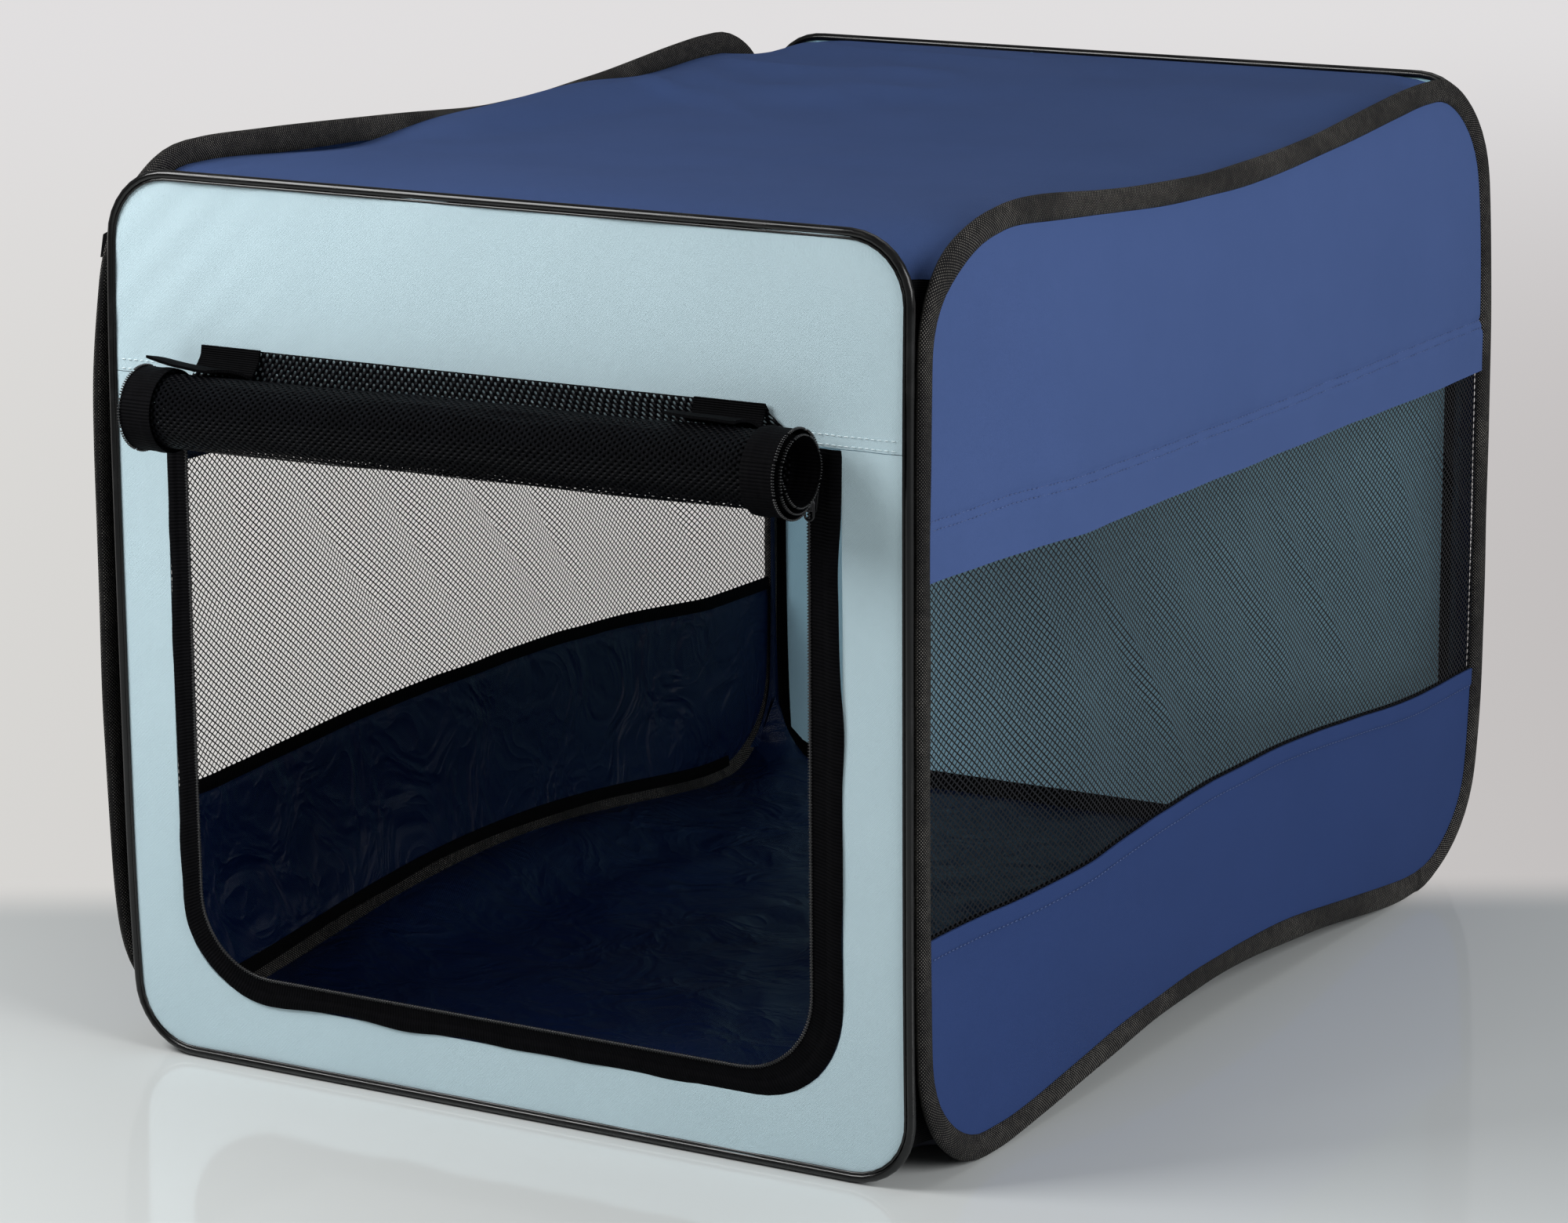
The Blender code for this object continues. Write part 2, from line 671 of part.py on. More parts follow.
def strap_path():
    """The strap's section, as (y, z): sewn above the door, it lies over the top of the roll."""
    clear = DOOR_THICKNESS / 2 + GAP + STRAP_THICKNESS / 2
    centre = Vector((ROLL_Y, ROLL_HEIGHT))
    over = []
    for index in (ROLL_FACETS - 1, ROLL_FACETS - 2, ROLL_FACETS - 3):
        corner = roll_corner(index)
        over.append(corner + (corner - centre).normalized() * (clear + GAP))
    lip = over[1].lerp(over[2], STRAP_LIP_SHARE)
    return [Vector((DOOR_Y - clear, FRONT_SEAM_HEIGHT + STRAP_RISE)), over[0], over[1], lip]


def thick_line(path, thickness):
    """The outline of a bent line with its thickness, mitred at the bends."""
    sides = ([], [])
    for index, point in enumerate(path):
        before = (point - path[index - 1]).normalized() if index else None
        after = (path[index + 1] - point).normalized() if index + 1 < len(path) else before
        before = before or after
        across = Vector((before.y + after.y, -before.x - after.x)).normalized()
        reach = thickness / 2 / across.dot(Vector((before.y, -before.x)))
        sides[0].append(point + across * reach)
        sides[1].append(point - across * reach)
    return sides[0] + sides[1][::-1]


def make_straps():
    path = strap_path()
    outline = thick_line(path, STRAP_THICKNESS)
    for name, share in (("left", LEFT_STRAP_SHARE), ("right", RIGHT_STRAP_SHARE)):
        middle = share * END_X

        def place(point, middle=middle):
            return Vector((middle + point[2], point[0], point[1]))

        strap = plate(f"{name}_strap", outline, STRAP_WIDTH, place, BINDING)
        move_origin(strap, (middle, path[0].x, path[0].y))


def make_side_tab():
    """A small tab sewn on the outside of the left binding's front edge."""
    place = side_place(LEFT)
    reach = BINDING_THICKNESS / 2 + GAP + TAB_LENGTH / 2

    def at(u, v):
        return place(((u - 0.5) * TAB_THICKNESS - SIDE_Y, TAB_LEVEL + (v - 0.5) * TAB_HEIGHT, reach))

    sheet("left_side_tab", 1, 2, at, (TAB_LENGTH, 0.0, 0.0), BINDING)


clear_scene()
CRATE = bpy.data.collections.new("soft_folding_dog_crate")
bpy.context.scene.collection.children.link(CRATE)
PALE_CLOTH = make_material("pale_cloth", (0.55, 0.72, 0.77), 0.85)
BLUE_CLOTH = make_material("blue_cloth", (0.055, 0.095, 0.28), 0.85)
FLOOR_CLOTH = make_material("floor_cloth", (0.012, 0.025, 0.08), 0.45)
MESH_CLOTH = make_material("mesh_cloth", (0.012, 0.012, 0.014), 0.7)
BINDING = make_material("woven_binding", (0.02, 0.019, 0.018), 0.85)
TAPE = make_material("zip_tape", (0.012, 0.012, 0.014), 0.8)
TEETH = make_material("zip_teeth", (0.01, 0.01, 0.012), 0.35)
PIPING = make_material("piping", (0.008, 0.008, 0.01), 0.25)
STEEL = make_material("spring_steel", (0.5, 0.5, 0.5), 0.3, 1.0)
METAL = make_material("black_metal", (0.03, 0.03, 0.03), 0.35, 1.0)

for end_name, end_y in (("front", -END_Y), ("back", END_Y)):
    make_end_hoop(end_name, end_y)
for hoop_name, hoop_side in (("right", RIGHT), ("left", LEFT)):
    make_side_hoop(hoop_name, hoop_side)
    make_side_panels(hoop_name, hoop_side)
make_front_panels()
make_back_panel()
make_frame_zip()
make_roof_and_floor()
make_door()
make_sliders()
make_straps()
make_side_tab()
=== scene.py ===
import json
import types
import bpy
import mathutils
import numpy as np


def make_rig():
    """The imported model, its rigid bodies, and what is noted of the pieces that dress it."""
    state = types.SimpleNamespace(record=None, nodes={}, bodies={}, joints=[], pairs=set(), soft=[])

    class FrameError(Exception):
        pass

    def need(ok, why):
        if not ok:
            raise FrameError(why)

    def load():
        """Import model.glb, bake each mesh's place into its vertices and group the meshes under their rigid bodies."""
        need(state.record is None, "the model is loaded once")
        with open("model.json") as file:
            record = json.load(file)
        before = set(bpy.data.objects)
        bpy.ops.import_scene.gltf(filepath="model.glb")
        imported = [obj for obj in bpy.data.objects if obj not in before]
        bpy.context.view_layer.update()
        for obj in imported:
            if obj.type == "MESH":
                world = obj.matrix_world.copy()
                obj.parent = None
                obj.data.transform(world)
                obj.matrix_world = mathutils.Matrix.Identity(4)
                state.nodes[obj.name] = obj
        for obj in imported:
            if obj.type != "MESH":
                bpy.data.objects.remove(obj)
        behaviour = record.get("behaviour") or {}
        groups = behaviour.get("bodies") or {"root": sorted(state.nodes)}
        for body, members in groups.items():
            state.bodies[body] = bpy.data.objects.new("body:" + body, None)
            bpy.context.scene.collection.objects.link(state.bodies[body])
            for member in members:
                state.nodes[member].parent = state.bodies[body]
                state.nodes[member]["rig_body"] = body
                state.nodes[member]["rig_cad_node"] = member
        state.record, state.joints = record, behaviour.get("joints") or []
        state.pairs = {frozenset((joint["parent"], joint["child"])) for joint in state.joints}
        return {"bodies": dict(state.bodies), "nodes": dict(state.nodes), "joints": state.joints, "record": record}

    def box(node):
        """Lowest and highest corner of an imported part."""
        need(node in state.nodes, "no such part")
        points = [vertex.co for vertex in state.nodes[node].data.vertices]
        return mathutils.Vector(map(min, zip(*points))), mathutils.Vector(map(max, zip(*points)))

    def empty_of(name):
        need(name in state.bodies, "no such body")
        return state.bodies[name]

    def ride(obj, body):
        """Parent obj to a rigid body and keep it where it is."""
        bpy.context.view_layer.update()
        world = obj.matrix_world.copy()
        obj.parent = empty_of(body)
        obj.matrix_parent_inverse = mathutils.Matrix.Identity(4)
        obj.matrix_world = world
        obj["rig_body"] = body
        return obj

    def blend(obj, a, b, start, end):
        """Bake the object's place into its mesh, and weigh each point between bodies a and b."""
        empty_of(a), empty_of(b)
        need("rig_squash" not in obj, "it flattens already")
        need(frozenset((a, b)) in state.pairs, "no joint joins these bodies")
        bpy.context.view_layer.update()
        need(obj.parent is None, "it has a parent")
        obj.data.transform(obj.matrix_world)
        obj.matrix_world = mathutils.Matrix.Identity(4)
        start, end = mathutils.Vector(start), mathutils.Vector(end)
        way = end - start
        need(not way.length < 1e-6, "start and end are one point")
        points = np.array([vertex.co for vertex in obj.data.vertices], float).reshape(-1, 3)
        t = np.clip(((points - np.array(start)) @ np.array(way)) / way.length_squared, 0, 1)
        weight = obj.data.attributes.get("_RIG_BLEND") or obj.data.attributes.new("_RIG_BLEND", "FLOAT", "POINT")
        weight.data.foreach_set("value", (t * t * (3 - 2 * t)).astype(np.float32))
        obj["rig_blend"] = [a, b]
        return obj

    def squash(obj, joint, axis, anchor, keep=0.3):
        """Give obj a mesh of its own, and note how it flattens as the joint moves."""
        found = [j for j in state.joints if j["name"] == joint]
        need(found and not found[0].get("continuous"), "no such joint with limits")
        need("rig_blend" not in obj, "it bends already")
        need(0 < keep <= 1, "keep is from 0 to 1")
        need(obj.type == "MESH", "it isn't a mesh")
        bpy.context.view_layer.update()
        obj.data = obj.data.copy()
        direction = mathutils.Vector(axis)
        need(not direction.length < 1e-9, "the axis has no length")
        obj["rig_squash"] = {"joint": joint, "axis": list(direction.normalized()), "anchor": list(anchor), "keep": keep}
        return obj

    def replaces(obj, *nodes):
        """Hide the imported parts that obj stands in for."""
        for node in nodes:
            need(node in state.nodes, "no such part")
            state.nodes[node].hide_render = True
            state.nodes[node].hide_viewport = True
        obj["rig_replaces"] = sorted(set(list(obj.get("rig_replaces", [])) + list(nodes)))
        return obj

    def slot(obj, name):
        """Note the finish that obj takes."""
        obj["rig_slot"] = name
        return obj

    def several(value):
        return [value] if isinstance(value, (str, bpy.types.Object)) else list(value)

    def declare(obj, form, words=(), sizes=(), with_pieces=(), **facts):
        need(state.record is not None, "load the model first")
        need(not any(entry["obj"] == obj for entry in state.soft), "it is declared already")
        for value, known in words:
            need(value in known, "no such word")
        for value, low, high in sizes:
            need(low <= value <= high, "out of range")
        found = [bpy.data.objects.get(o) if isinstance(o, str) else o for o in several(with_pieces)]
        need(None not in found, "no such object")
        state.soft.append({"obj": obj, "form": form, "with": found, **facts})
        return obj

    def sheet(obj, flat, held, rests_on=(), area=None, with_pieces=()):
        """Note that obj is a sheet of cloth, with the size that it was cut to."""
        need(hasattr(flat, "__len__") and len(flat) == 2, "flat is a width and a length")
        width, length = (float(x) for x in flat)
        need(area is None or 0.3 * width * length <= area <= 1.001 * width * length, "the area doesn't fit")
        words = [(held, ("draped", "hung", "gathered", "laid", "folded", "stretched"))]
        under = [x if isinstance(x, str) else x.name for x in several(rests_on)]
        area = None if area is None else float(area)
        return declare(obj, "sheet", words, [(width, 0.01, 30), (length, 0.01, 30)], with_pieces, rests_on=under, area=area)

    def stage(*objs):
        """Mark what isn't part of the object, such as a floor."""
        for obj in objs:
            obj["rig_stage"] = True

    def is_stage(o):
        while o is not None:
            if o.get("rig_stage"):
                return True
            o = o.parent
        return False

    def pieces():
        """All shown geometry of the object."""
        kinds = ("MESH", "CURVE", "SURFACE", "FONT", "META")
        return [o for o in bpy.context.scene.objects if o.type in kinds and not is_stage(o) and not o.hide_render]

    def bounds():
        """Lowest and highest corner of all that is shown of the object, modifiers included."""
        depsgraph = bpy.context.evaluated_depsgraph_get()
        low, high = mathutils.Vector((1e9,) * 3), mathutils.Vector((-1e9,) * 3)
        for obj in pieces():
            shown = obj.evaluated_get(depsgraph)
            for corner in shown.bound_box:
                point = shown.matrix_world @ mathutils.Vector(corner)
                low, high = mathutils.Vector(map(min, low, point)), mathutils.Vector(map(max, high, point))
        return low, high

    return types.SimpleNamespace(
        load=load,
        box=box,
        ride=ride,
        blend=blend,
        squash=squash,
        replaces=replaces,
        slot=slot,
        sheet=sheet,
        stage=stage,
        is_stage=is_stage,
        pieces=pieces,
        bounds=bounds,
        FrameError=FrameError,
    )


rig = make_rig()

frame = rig.load()
cad_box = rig.bounds()

# Looks of the soft folding dog crate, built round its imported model. Metres, +Z up. The door faces -Y.

import json
import math

import bmesh
import bpy
from mathutils import Matrix, Vector, noise

# Sizes of the crate, the same as in the part's source
CRATE_WIDTH = 0.45
CRATE_HEIGHT = 0.45
CRATE_LENGTH = 0.64
PIPING_DIAMETER = 0.0045
END_CORNER_RADIUS = 0.032
LEFT_EDGE_BOW = 0.005
RIGHT_EDGE_BOW = -0.0015
BINDING_WIDTH = 0.012
BINDING_THICKNESS = 0.006
SIDE_CORNER_RADIUS = 0.055
LEFT_BULGE = 0.018
RIGHT_BULGE = 0.010
DRAWN_IN_STRETCH = 0.046
DRAWN_IN_REACH = 0.11
WAIST_RISE = 0.020
WAIST_DIP = 0.0145
MID_BULGE_LOSS_SHARE = 0.4
FRONT_SEAM_HEIGHT = 0.352
LOWER_BAND_HEIGHT = 0.120
UPPER_BAND_HEIGHT = 0.291
OPENING_WIDTH = 0.383
OPENING_SILL = 0.035
OPENING_CORNER_RADIUS = 0.048
OPENING_SHIFT = -0.0025
ZIP_WIDTH = 0.3545
ZIP_SILL = 0.0478
ZIP_CORNER_RADIUS = 0.040
ZIP_SHIFT = -0.0053
DOOR_TOP = 0.3693
DOOR_BOTTOM_CLEARANCE = 0.0018
DOOR_WIDTH = 0.3503
DOOR_CORNER_RADIUS = 0.0385
DOOR_Y = -0.3218
ROLL_Y = -0.34176
ROLL_HEIGHT = 0.3473
ROLL_RADIUS = 0.0216
ROLL_PITCH = 0.0029
ROLL_FACETS = 8
CREASE_OFFSET = 0.020
FLOOR_RAMP = 0.055
ROOF_CORNER_REACH = 0.055
ROOF_SAG_SHARE = 0.55
ROOF_TUCK = 0.004
STRIPS = 22

# How thick the cloths, tapes and webs are
CLOTH_THICK = 0.0008
BAND_THICK = 0.0011
TAPE_THICK = 0.0006
ZIP_THICK = 0.0007
WEB_THICK = 0.0014
EDGE_MARGIN = 0.0006
STITCH_LENGTH = 0.0026
STITCH_GAP = 0.0009

# Where the looks leave the part's plain shape, after the photo
CORNER_TURN_SHARE = 0.97
EDGE_SHIFT = 0.0024
EDGE_PULL = 0.0028
LEFT_BULGE_SHARE = 0.89
LEFT_EDGE_RISE = 0.0045
FRONT_CORNER_DROP = 0.0045
ROOF_ROLL_RISE = 0.0125
ROLL_SAG = 0.0035
ROLL_SAG_MIDDLE = 0.0012
ROLL_SAG_LEFT = 0.0022

# Upright corner gussets, the upper band's hem, the roll's ends, the straps and the tab
GUSSET_BASE = 0.018
GUSSET_HEIGHT = 0.414
OPEN_PIVOT_SPLIT = 0.005
HEM_STITCHES = (0.3155, 0.3195)
SPRING_DIAMETER = 0.0026
ROLL_RIGHT_END = 0.1758
ROLL_RIGHT_SPREAD = 0.0042
ROLL_LEFT_END = -0.1935
ROLL_LEFT_SPREAD = 0.001
DOOR_TOOTH_PITCH = 0.0014
FRAME_TOOTH_PITCH = 0.0015
STRAP_WIDTH = 0.038
STRAP_TOP = 0.3700
STRAP_BEND = 0.3650
TAB_BASE = 0.4085
TAB_HEIGHT = 0.0115
TAB_REACH = 0.0052
STRAP_ANGLES = (48, 58, 68, 78, 88, 98)

END_BASE = PIPING_DIAMETER / 2
END_TOP = END_BASE + CRATE_HEIGHT
END_X = CRATE_WIDTH / 2
END_Y = CRATE_LENGTH / 2
SIDE_X = END_X + 0.004
SIDE_Y = END_Y - 0.009
SIDE_BASE = BINDING_WIDTH / 2
SIDE_TOP = END_TOP
SIDE_INSET = 0.0015
WAIST_REACH = 0.24
CLOTH_EDGE_X = 0.2257
CLOTH_EDGE_Y = 0.31715
ROOF_LEVEL = END_TOP - 0.001
FLOOR_LEVEL = 0.0005
RIGHT = 1
LEFT = -1
SIDES = (("right", RIGHT), ("left", LEFT))
TURN = 2 * math.pi

# Camera of the photograph, fitted to the crate's corners
PHOTO_WIDTH = 2000
FOCAL_PIXELS = 6411
CAMERA_PLACE = Vector((1.30905, -2.26940, 0.80555))
CAMERA_YAW = math.radians(-30.583)
CAMERA_PITCH = math.radians(-13.252)
CAMERA_ROLL = math.radians(-0.385)


# Node materials

def add(tree, kind, inputs=None, **settings):
    """A shader node with its settings, and its inputs set or linked."""
    item = tree.nodes.new("ShaderNode" + kind)
    for key, value in settings.items():
        setattr(item, key, value)
    for key, value in (inputs or {}).items():
        if isinstance(value, bpy.types.NodeSocket):
            tree.links.new(value, item.inputs[key])
        else:
            item.inputs[key].default_value = value
    return item


def calc(tree, operation, first, second=0.0, third=0.0):
    return add(tree, "Math", {0: first, 1: second, 2: third}, operation=operation).outputs[0]


def wave(tree, value, period, phase=0.0):
    """A sine of the value, from -1 to 1."""
    return calc(tree, "SINE", calc(tree, "MULTIPLY_ADD", value, TURN / period, phase))


def mix_colour(tree, share, first, second):
    item = add(tree, "Mix", {"Factor": share}, data_type="RGBA")
    for socket, value in ((item.inputs[6], first), (item.inputs[7], second)):
        if isinstance(value, bpy.types.NodeSocket):
            tree.links.new(value, socket)
        else:
            socket.default_value = (*value, 1.0)
    return item.outputs[2]


def smooth(tree, value, low, high, to_low=0.0, to_high=1.0):
    inputs = {"Value": value, "From Min": low, "From Max": high, "To Min": to_low, "To Max": to_high}
    return add(tree, "MapRange", inputs, interpolation_type="SMOOTHSTEP").outputs[0]


def paint(tree, shader, share, first, second):
    """The shader's colour: first where the share is 0, second where it is 1."""
    tree.links.new(mix_colour(tree, share, first, second), shader.inputs["Base Color"])


def blotches(tree, place, scale, detail=3.0):
    return add(tree, "TexNoise", {"Vector": place, "Scale": scale, "Detail": detail}).outputs["Fac"]


def start_material(name, roughness=0.8, **sockets):
    """A material with its shader, and the cloth's flat place as (u, v) in metres."""
    material = bpy.data.materials.new(name)
    material.use_nodes = True
    tree = material.node_tree
    shader = tree.nodes["Principled BSDF"]
    shader.inputs["Roughness"].default_value = roughness
    for key, value in sockets.items():
        shader.inputs[key.replace("_", " ")].default_value = value
    flat = add(tree, "SeparateXYZ", {0: add(tree, "TexCoord").outputs["UV"]})
    spot = add(tree, "TexCoord").outputs["Object"]
    return material, tree, shader, flat.outputs[0], flat.outputs[1], spot


def set_bump(tree, shader, height, strength, distance):
    bump = add(tree, "Bump", {"Height": height, "Strength": strength, "Distance": distance})
    tree.links.new(bump.outputs[0], shader.inputs["Normal"])


def cloth_material(name, colour, shade, twill):
    """Woven polyester: a diagonal twill over fine cross threads, with soft blotches and small creases."""
    material, tree, shader, u, v, spot = start_material(name, 0.9, Specular_IOR_Level=0.15)
    crinkle = 0.25
    diagonal = wave(tree, calc(tree, "ADD", u, v), twill)
    across = wave(tree, calc(tree, "SUBTRACT", u, v), twill * 1.7)
    threads = calc(tree, "MULTIPLY", wave(tree, u, twill * 0.5), wave(tree, v, twill * 0.5))
    weave = calc(tree, "MULTIPLY_ADD", diagonal, 0.6, calc(tree, "MULTIPLY_ADD", across, 0.25, threads))
    soft = blotches(tree, spot, 14.0)
    fine = blotches(tree, spot, 90.0)
    tone = calc(tree, "MULTIPLY_ADD", weave, 0.10, calc(tree, "MULTIPLY_ADD", soft, 0.5, 0.25))
    tone = calc(tree, "MULTIPLY_ADD", fine, 0.2, calc(tree, "SUBTRACT", tone, 0.1))
    paint(tree, shader, tone, shade, colour)
    height = calc(tree, "MULTIPLY_ADD", weave, 0.12, calc(tree, "MULTIPLY", fine, crinkle))
    set_bump(tree, shader, calc(tree, "MULTIPLY_ADD", soft, crinkle * 6, height), 0.5, 0.0012)
    return material


def paint_glow(material, colour, strength):
    """A painted glow: an even faint emission on the cloth's inside that stands in for the daylight that comes through
    the pale cloth from behind.
    """
    shader = material.node_tree.nodes["Principled BSDF"]
    shader.inputs["Emission Color"].default_value = (*colour, 1.0)
    shader.inputs["Emission Strength"].default_value = strength


def coated_material(name, colour, shade, roughness=0.26):
    """The shiny coated inside of the cloth, with sharp small creases."""
    material, tree, shader, u, v, spot = start_material(name, roughness, Specular_IOR_Level=0.2)
    soft = blotches(tree, spot, 9.0, 4.0)
    creases = add(tree, "TexNoise", {"Vector": spot, "Scale": 22.0, "Detail": 3.0, "Distortion": 1.2})
    ridges = calc(tree, "ABSOLUTE", calc(tree, "SUBTRACT", creases.outputs["Fac"], 0.5))
    weave = calc(tree, "MULTIPLY", wave(tree, u, 0.0011), wave(tree, v, 0.0011))
    paint(tree, shader, soft, shade, colour)
    tree.links.new(smooth(tree, soft, 0.3, 0.7, roughness - 0.08, roughness + 0.12),
                   shader.inputs["Roughness"])
    height = calc(tree, "MULTIPLY_ADD", ridges, -3.0, calc(tree, "MULTIPLY", weave, 0.03))
    set_bump(tree, shader, calc(tree, "MULTIPLY_ADD", soft, 2.0, height), 0.8, 0.004)
    return material


def tape_material(name, colour, light, rib):
    """Black tape with ribs across it: u runs along it and v across it."""
    material, tree, shader, u, v, spot = start_material(name, 0.7, Specular_IOR_Level=0.03)
    ribs = wave(tree, u, rib)
    rows = wave(tree, v, rib * 2.3)
    fuzz = blotches(tree, spot, 160.0)
    tone = calc(tree, "MULTIPLY_ADD", ribs, 0.18, calc(tree, "MULTIPLY", fuzz, 0.5))
    paint(tree, shader, tone, colour, light)
    set_bump(tree, shader, calc(tree, "MULTIPLY_ADD", rows, 0.3, ribs), 0.5, 0.0004)
    return material


def binding_material(name):
    """Coarse woven tape: black, with grey threads that show as specks in a herringbone."""
    material, tree, shader, u, v, spot = start_material(name, 0.8, Specular_IOR_Level=0.12)
    first = wave(tree, calc(tree, "ADD", u, v), 0.0017)
    second = wave(tree, calc(tree, "SUBTRACT", u, v), 0.0017)
    knots = calc(tree, "ADD", first, second)
    fuzz = blotches(tree, spot, 260.0)
    wear = blotches(tree, spot, 24.0)
    specks = smooth(tree, calc(tree, "MULTIPLY_ADD", fuzz, 1.5, knots), 1.2, 2.6)
    specks = calc(tree, "MULTIPLY", specks, smooth(tree, wear, 0.3, 0.7, 0.4, 1.0))
    paint(tree, shader, specks, (0.007, 0.007, 0.008), (0.26, 0.245, 0.22))
    set_bump(tree, shader, knots, 0.6, 0.0005)
    return material


def net_material(name):
    """Polyester net yarn."""
    material, tree, shader, *_, spot = start_material(name, 0.6, Specular_IOR_Level=0.12)
    fuzz = blotches(tree, spot, 300.0)
    paint(tree, shader, fuzz, (0.003, 0.0035, 0.005), (0.013, 0.014, 0.017))
    set_bump(tree, shader, fuzz, 0.4, 0.0004)
    return material


def wound_net_material(name):
    """The door's net, whose holes are in the shader, because its layers bend from strip to strip. Its black yarn is
    darker than the window net's, as painted shade of the wound roll.
    """
    material, tree, shader, u, v, spot = start_material(name, 0.5, Specular_IOR_Level=0.05)
    slants = []
    for rise in (TURN / NET_HIGH, -TURN / NET_HIGH):
        slant = calc(tree, "MULTIPLY_ADD", u, TURN / NET_WIDE, calc(tree, "MULTIPLY", v, rise))
        slants.append(calc(tree, "COSINE", slant))
    lattice = calc(tree, "ADD", *slants)
    tree.links.new(smooth(tree, lattice, 0.85, 1.15, 1.0, 0.0), shader.inputs["Alpha"])
    fuzz = blotches(tree, spot, 60.0)
    # Painted shade: the yarn is darker than the window net's, for the shade inside the wound roll.
    paint(tree, shader, fuzz, (0.0006, 0.0007, 0.0012), (0.003, 0.0033, 0.005))
    set_bump(tree, shader, calc(tree, "MULTIPLY", lattice, -0.5), 0.9, 0.0008)
    return material


def plastic_material(name, colour, roughness, **sockets):
    """Moulded PVC, nylon or painted metal, with fine scuffs in its gloss."""
    material, tree, shader, *_, spot = start_material(name, roughness, **sockets)
    scuffs = blotches(tree, spot, 70.0, 5.0)
    pale = tuple(min(1.0, 1.5 * part + 0.002) for part in colour)
    paint(tree, shader, smooth(tree, scuffs, 0.45, 0.85), colour, pale)
    tree.links.new(smooth(tree, scuffs, 0.3, 0.8, roughness - 0.07, roughness + 0.15),
                   shader.inputs["Roughness"])
    set_bump(tree, shader, scuffs, 0.15, 0.0003)
    return material


# Net of the windows and the door: pitch of its holes, and how far a cell's edge is drawn in
NET_WIDE = 0.00425
NET_HIGH = 0.0037
NET_HOLE_SHARE = 0.73

PALE = cloth_material("pale_twill", (0.575, 0.73, 0.79), (0.49, 0.64, 0.70), 0.0011)
BLUE = cloth_material("blue_twill", (0.068, 0.112, 0.28), (0.050, 0.088, 0.225), 0.0009)
# The roof's blue is the blue twill darkened with painted shade.
ROOF_SHADED_BLUE = cloth_material("roof_blue_twill_painted_shade", (0.044, 0.078, 0.20), (0.029, 0.056, 0.15), 0.0009)
# The lower bands' deep blue is the blue twill darkened with painted shade.
LOWER_SHADED_BLUE = cloth_material("lower_blue_twill_painted_shade", (0.031, 0.060, 0.185), (0.023, 0.047, 0.145), 0.0009)
NAVY = coated_material("navy_coating", (0.0014, 0.010, 0.048), (0.0006, 0.004, 0.024))
# The back panel's inside: a copy of the pale twill with painted light, a bluer tint and an even faint painted glow.
PALE_INSIDE_PAINTED_LIGHT = cloth_material("pale_twill_inside", (0.42, 0.70, 0.84), (0.34, 0.60, 0.74), 0.0011)
paint_glow(PALE_INSIDE_PAINTED_LIGHT, (0.42, 0.66, 0.80), 0.07)
BASE_CLOTH = cloth_material("floor_base", (0.010, 0.011, 0.018), (0.005, 0.006, 0.010), 0.0012)
BINDING = binding_material("woven_binding")
TAPE = tape_material("zip_tape", (0.0012, 0.0012, 0.0016), (0.0065, 0.0062, 0.0075), 0.0016)
TRIM = tape_material("black_trim", (0.0012, 0.0012, 0.0015), (0.0055, 0.0055, 0.0065), 0.0011)
NET = net_material("net_yarn")
WOUND_NET_PAINTED_SHADE = wound_net_material("door_net")
PIPING = plastic_material("black_pvc", (0.002, 0.002, 0.0022), 0.2, Specular_IOR_Level=0.4)
TEETH = plastic_material("nylon_teeth", (0.011, 0.011, 0.012), 0.3)
METAL = plastic_material("black_metal", (0.03, 0.03, 0.032), 0.3, Metallic=0.9)
STEEL = plastic_material("spring_steel", (0.42, 0.42, 0.43), 0.3, Metallic=1.0)
PALE_THREAD = plastic_material("pale_thread", (0.68, 0.80, 0.83), 0.7)
BLUE_THREAD = plastic_material("blue_thread", (0.075, 0.115, 0.26), 0.7)


# Shapes of the hoops and panels, the same as in the part's source

def clamp(value, low=0.0, high=1.0):
    return min(high, max(low, value))


def ramp(value):
    value = clamp(value)
    return value * value * (3 - 2 * value)


def bow_share(share):
    return 1 - (2 * share - 1) ** 4


def waist_share(y):
    return max(0.0, 1 - (y / WAIST_REACH) ** 2) ** 1.5


def end_place(y):
    def place(point):
        x, z, depth = point
        bow = RIGHT_EDGE_BOW if x > 0 else -LEFT_EDGE_BOW
        across = min(1.0, abs(x) / END_X) ** 3
        return Vector((x + bow * bow_share(clamp((z - END_BASE) / CRATE_HEIGHT)) * across, y + depth, z))

    return place


def side_place(side):
    bulge = RIGHT_BULGE if side == RIGHT else LEFT_BULGE

    def place(point):
        y, z, depth = point
        share = (z - SIDE_BASE) / (SIDE_TOP - SIDE_BASE)
        waist = waist_share(y)
        level = z + waist * (WAIST_RISE * (1 - share) - WAIST_DIP * share)
        drawn_in = ramp((SIDE_Y + side * y - DRAWN_IN_STRETCH) / DRAWN_IN_REACH)
        bow = bow_share(clamp(share))
        out = bulge * drawn_in * bow * (1 - MID_BULGE_LOSS_SHARE * waist)
        if side == LEFT:
            level += LEFT_EDGE_RISE * clamp(share) ** 3 * math.exp(-(((y + 0.09) / 0.09) ** 2))
            out *= LEFT_BULGE_SHARE * bow ** clamp(2 * share - 1)
        close = 1 - ramp((SIDE_Y + side * y - 0.01) / 0.05)
        out -= EDGE_SHIFT * close * bow
        if side == RIGHT:
            level -= FRONT_CORNER_DROP * ramp((share - 0.6) / 0.35) * math.exp(-(((y + 0.275) / 0.03) ** 2))
        return Vector((side * (SIDE_X + out + depth), y - side * EDGE_PULL * close * bow, level))

    return place


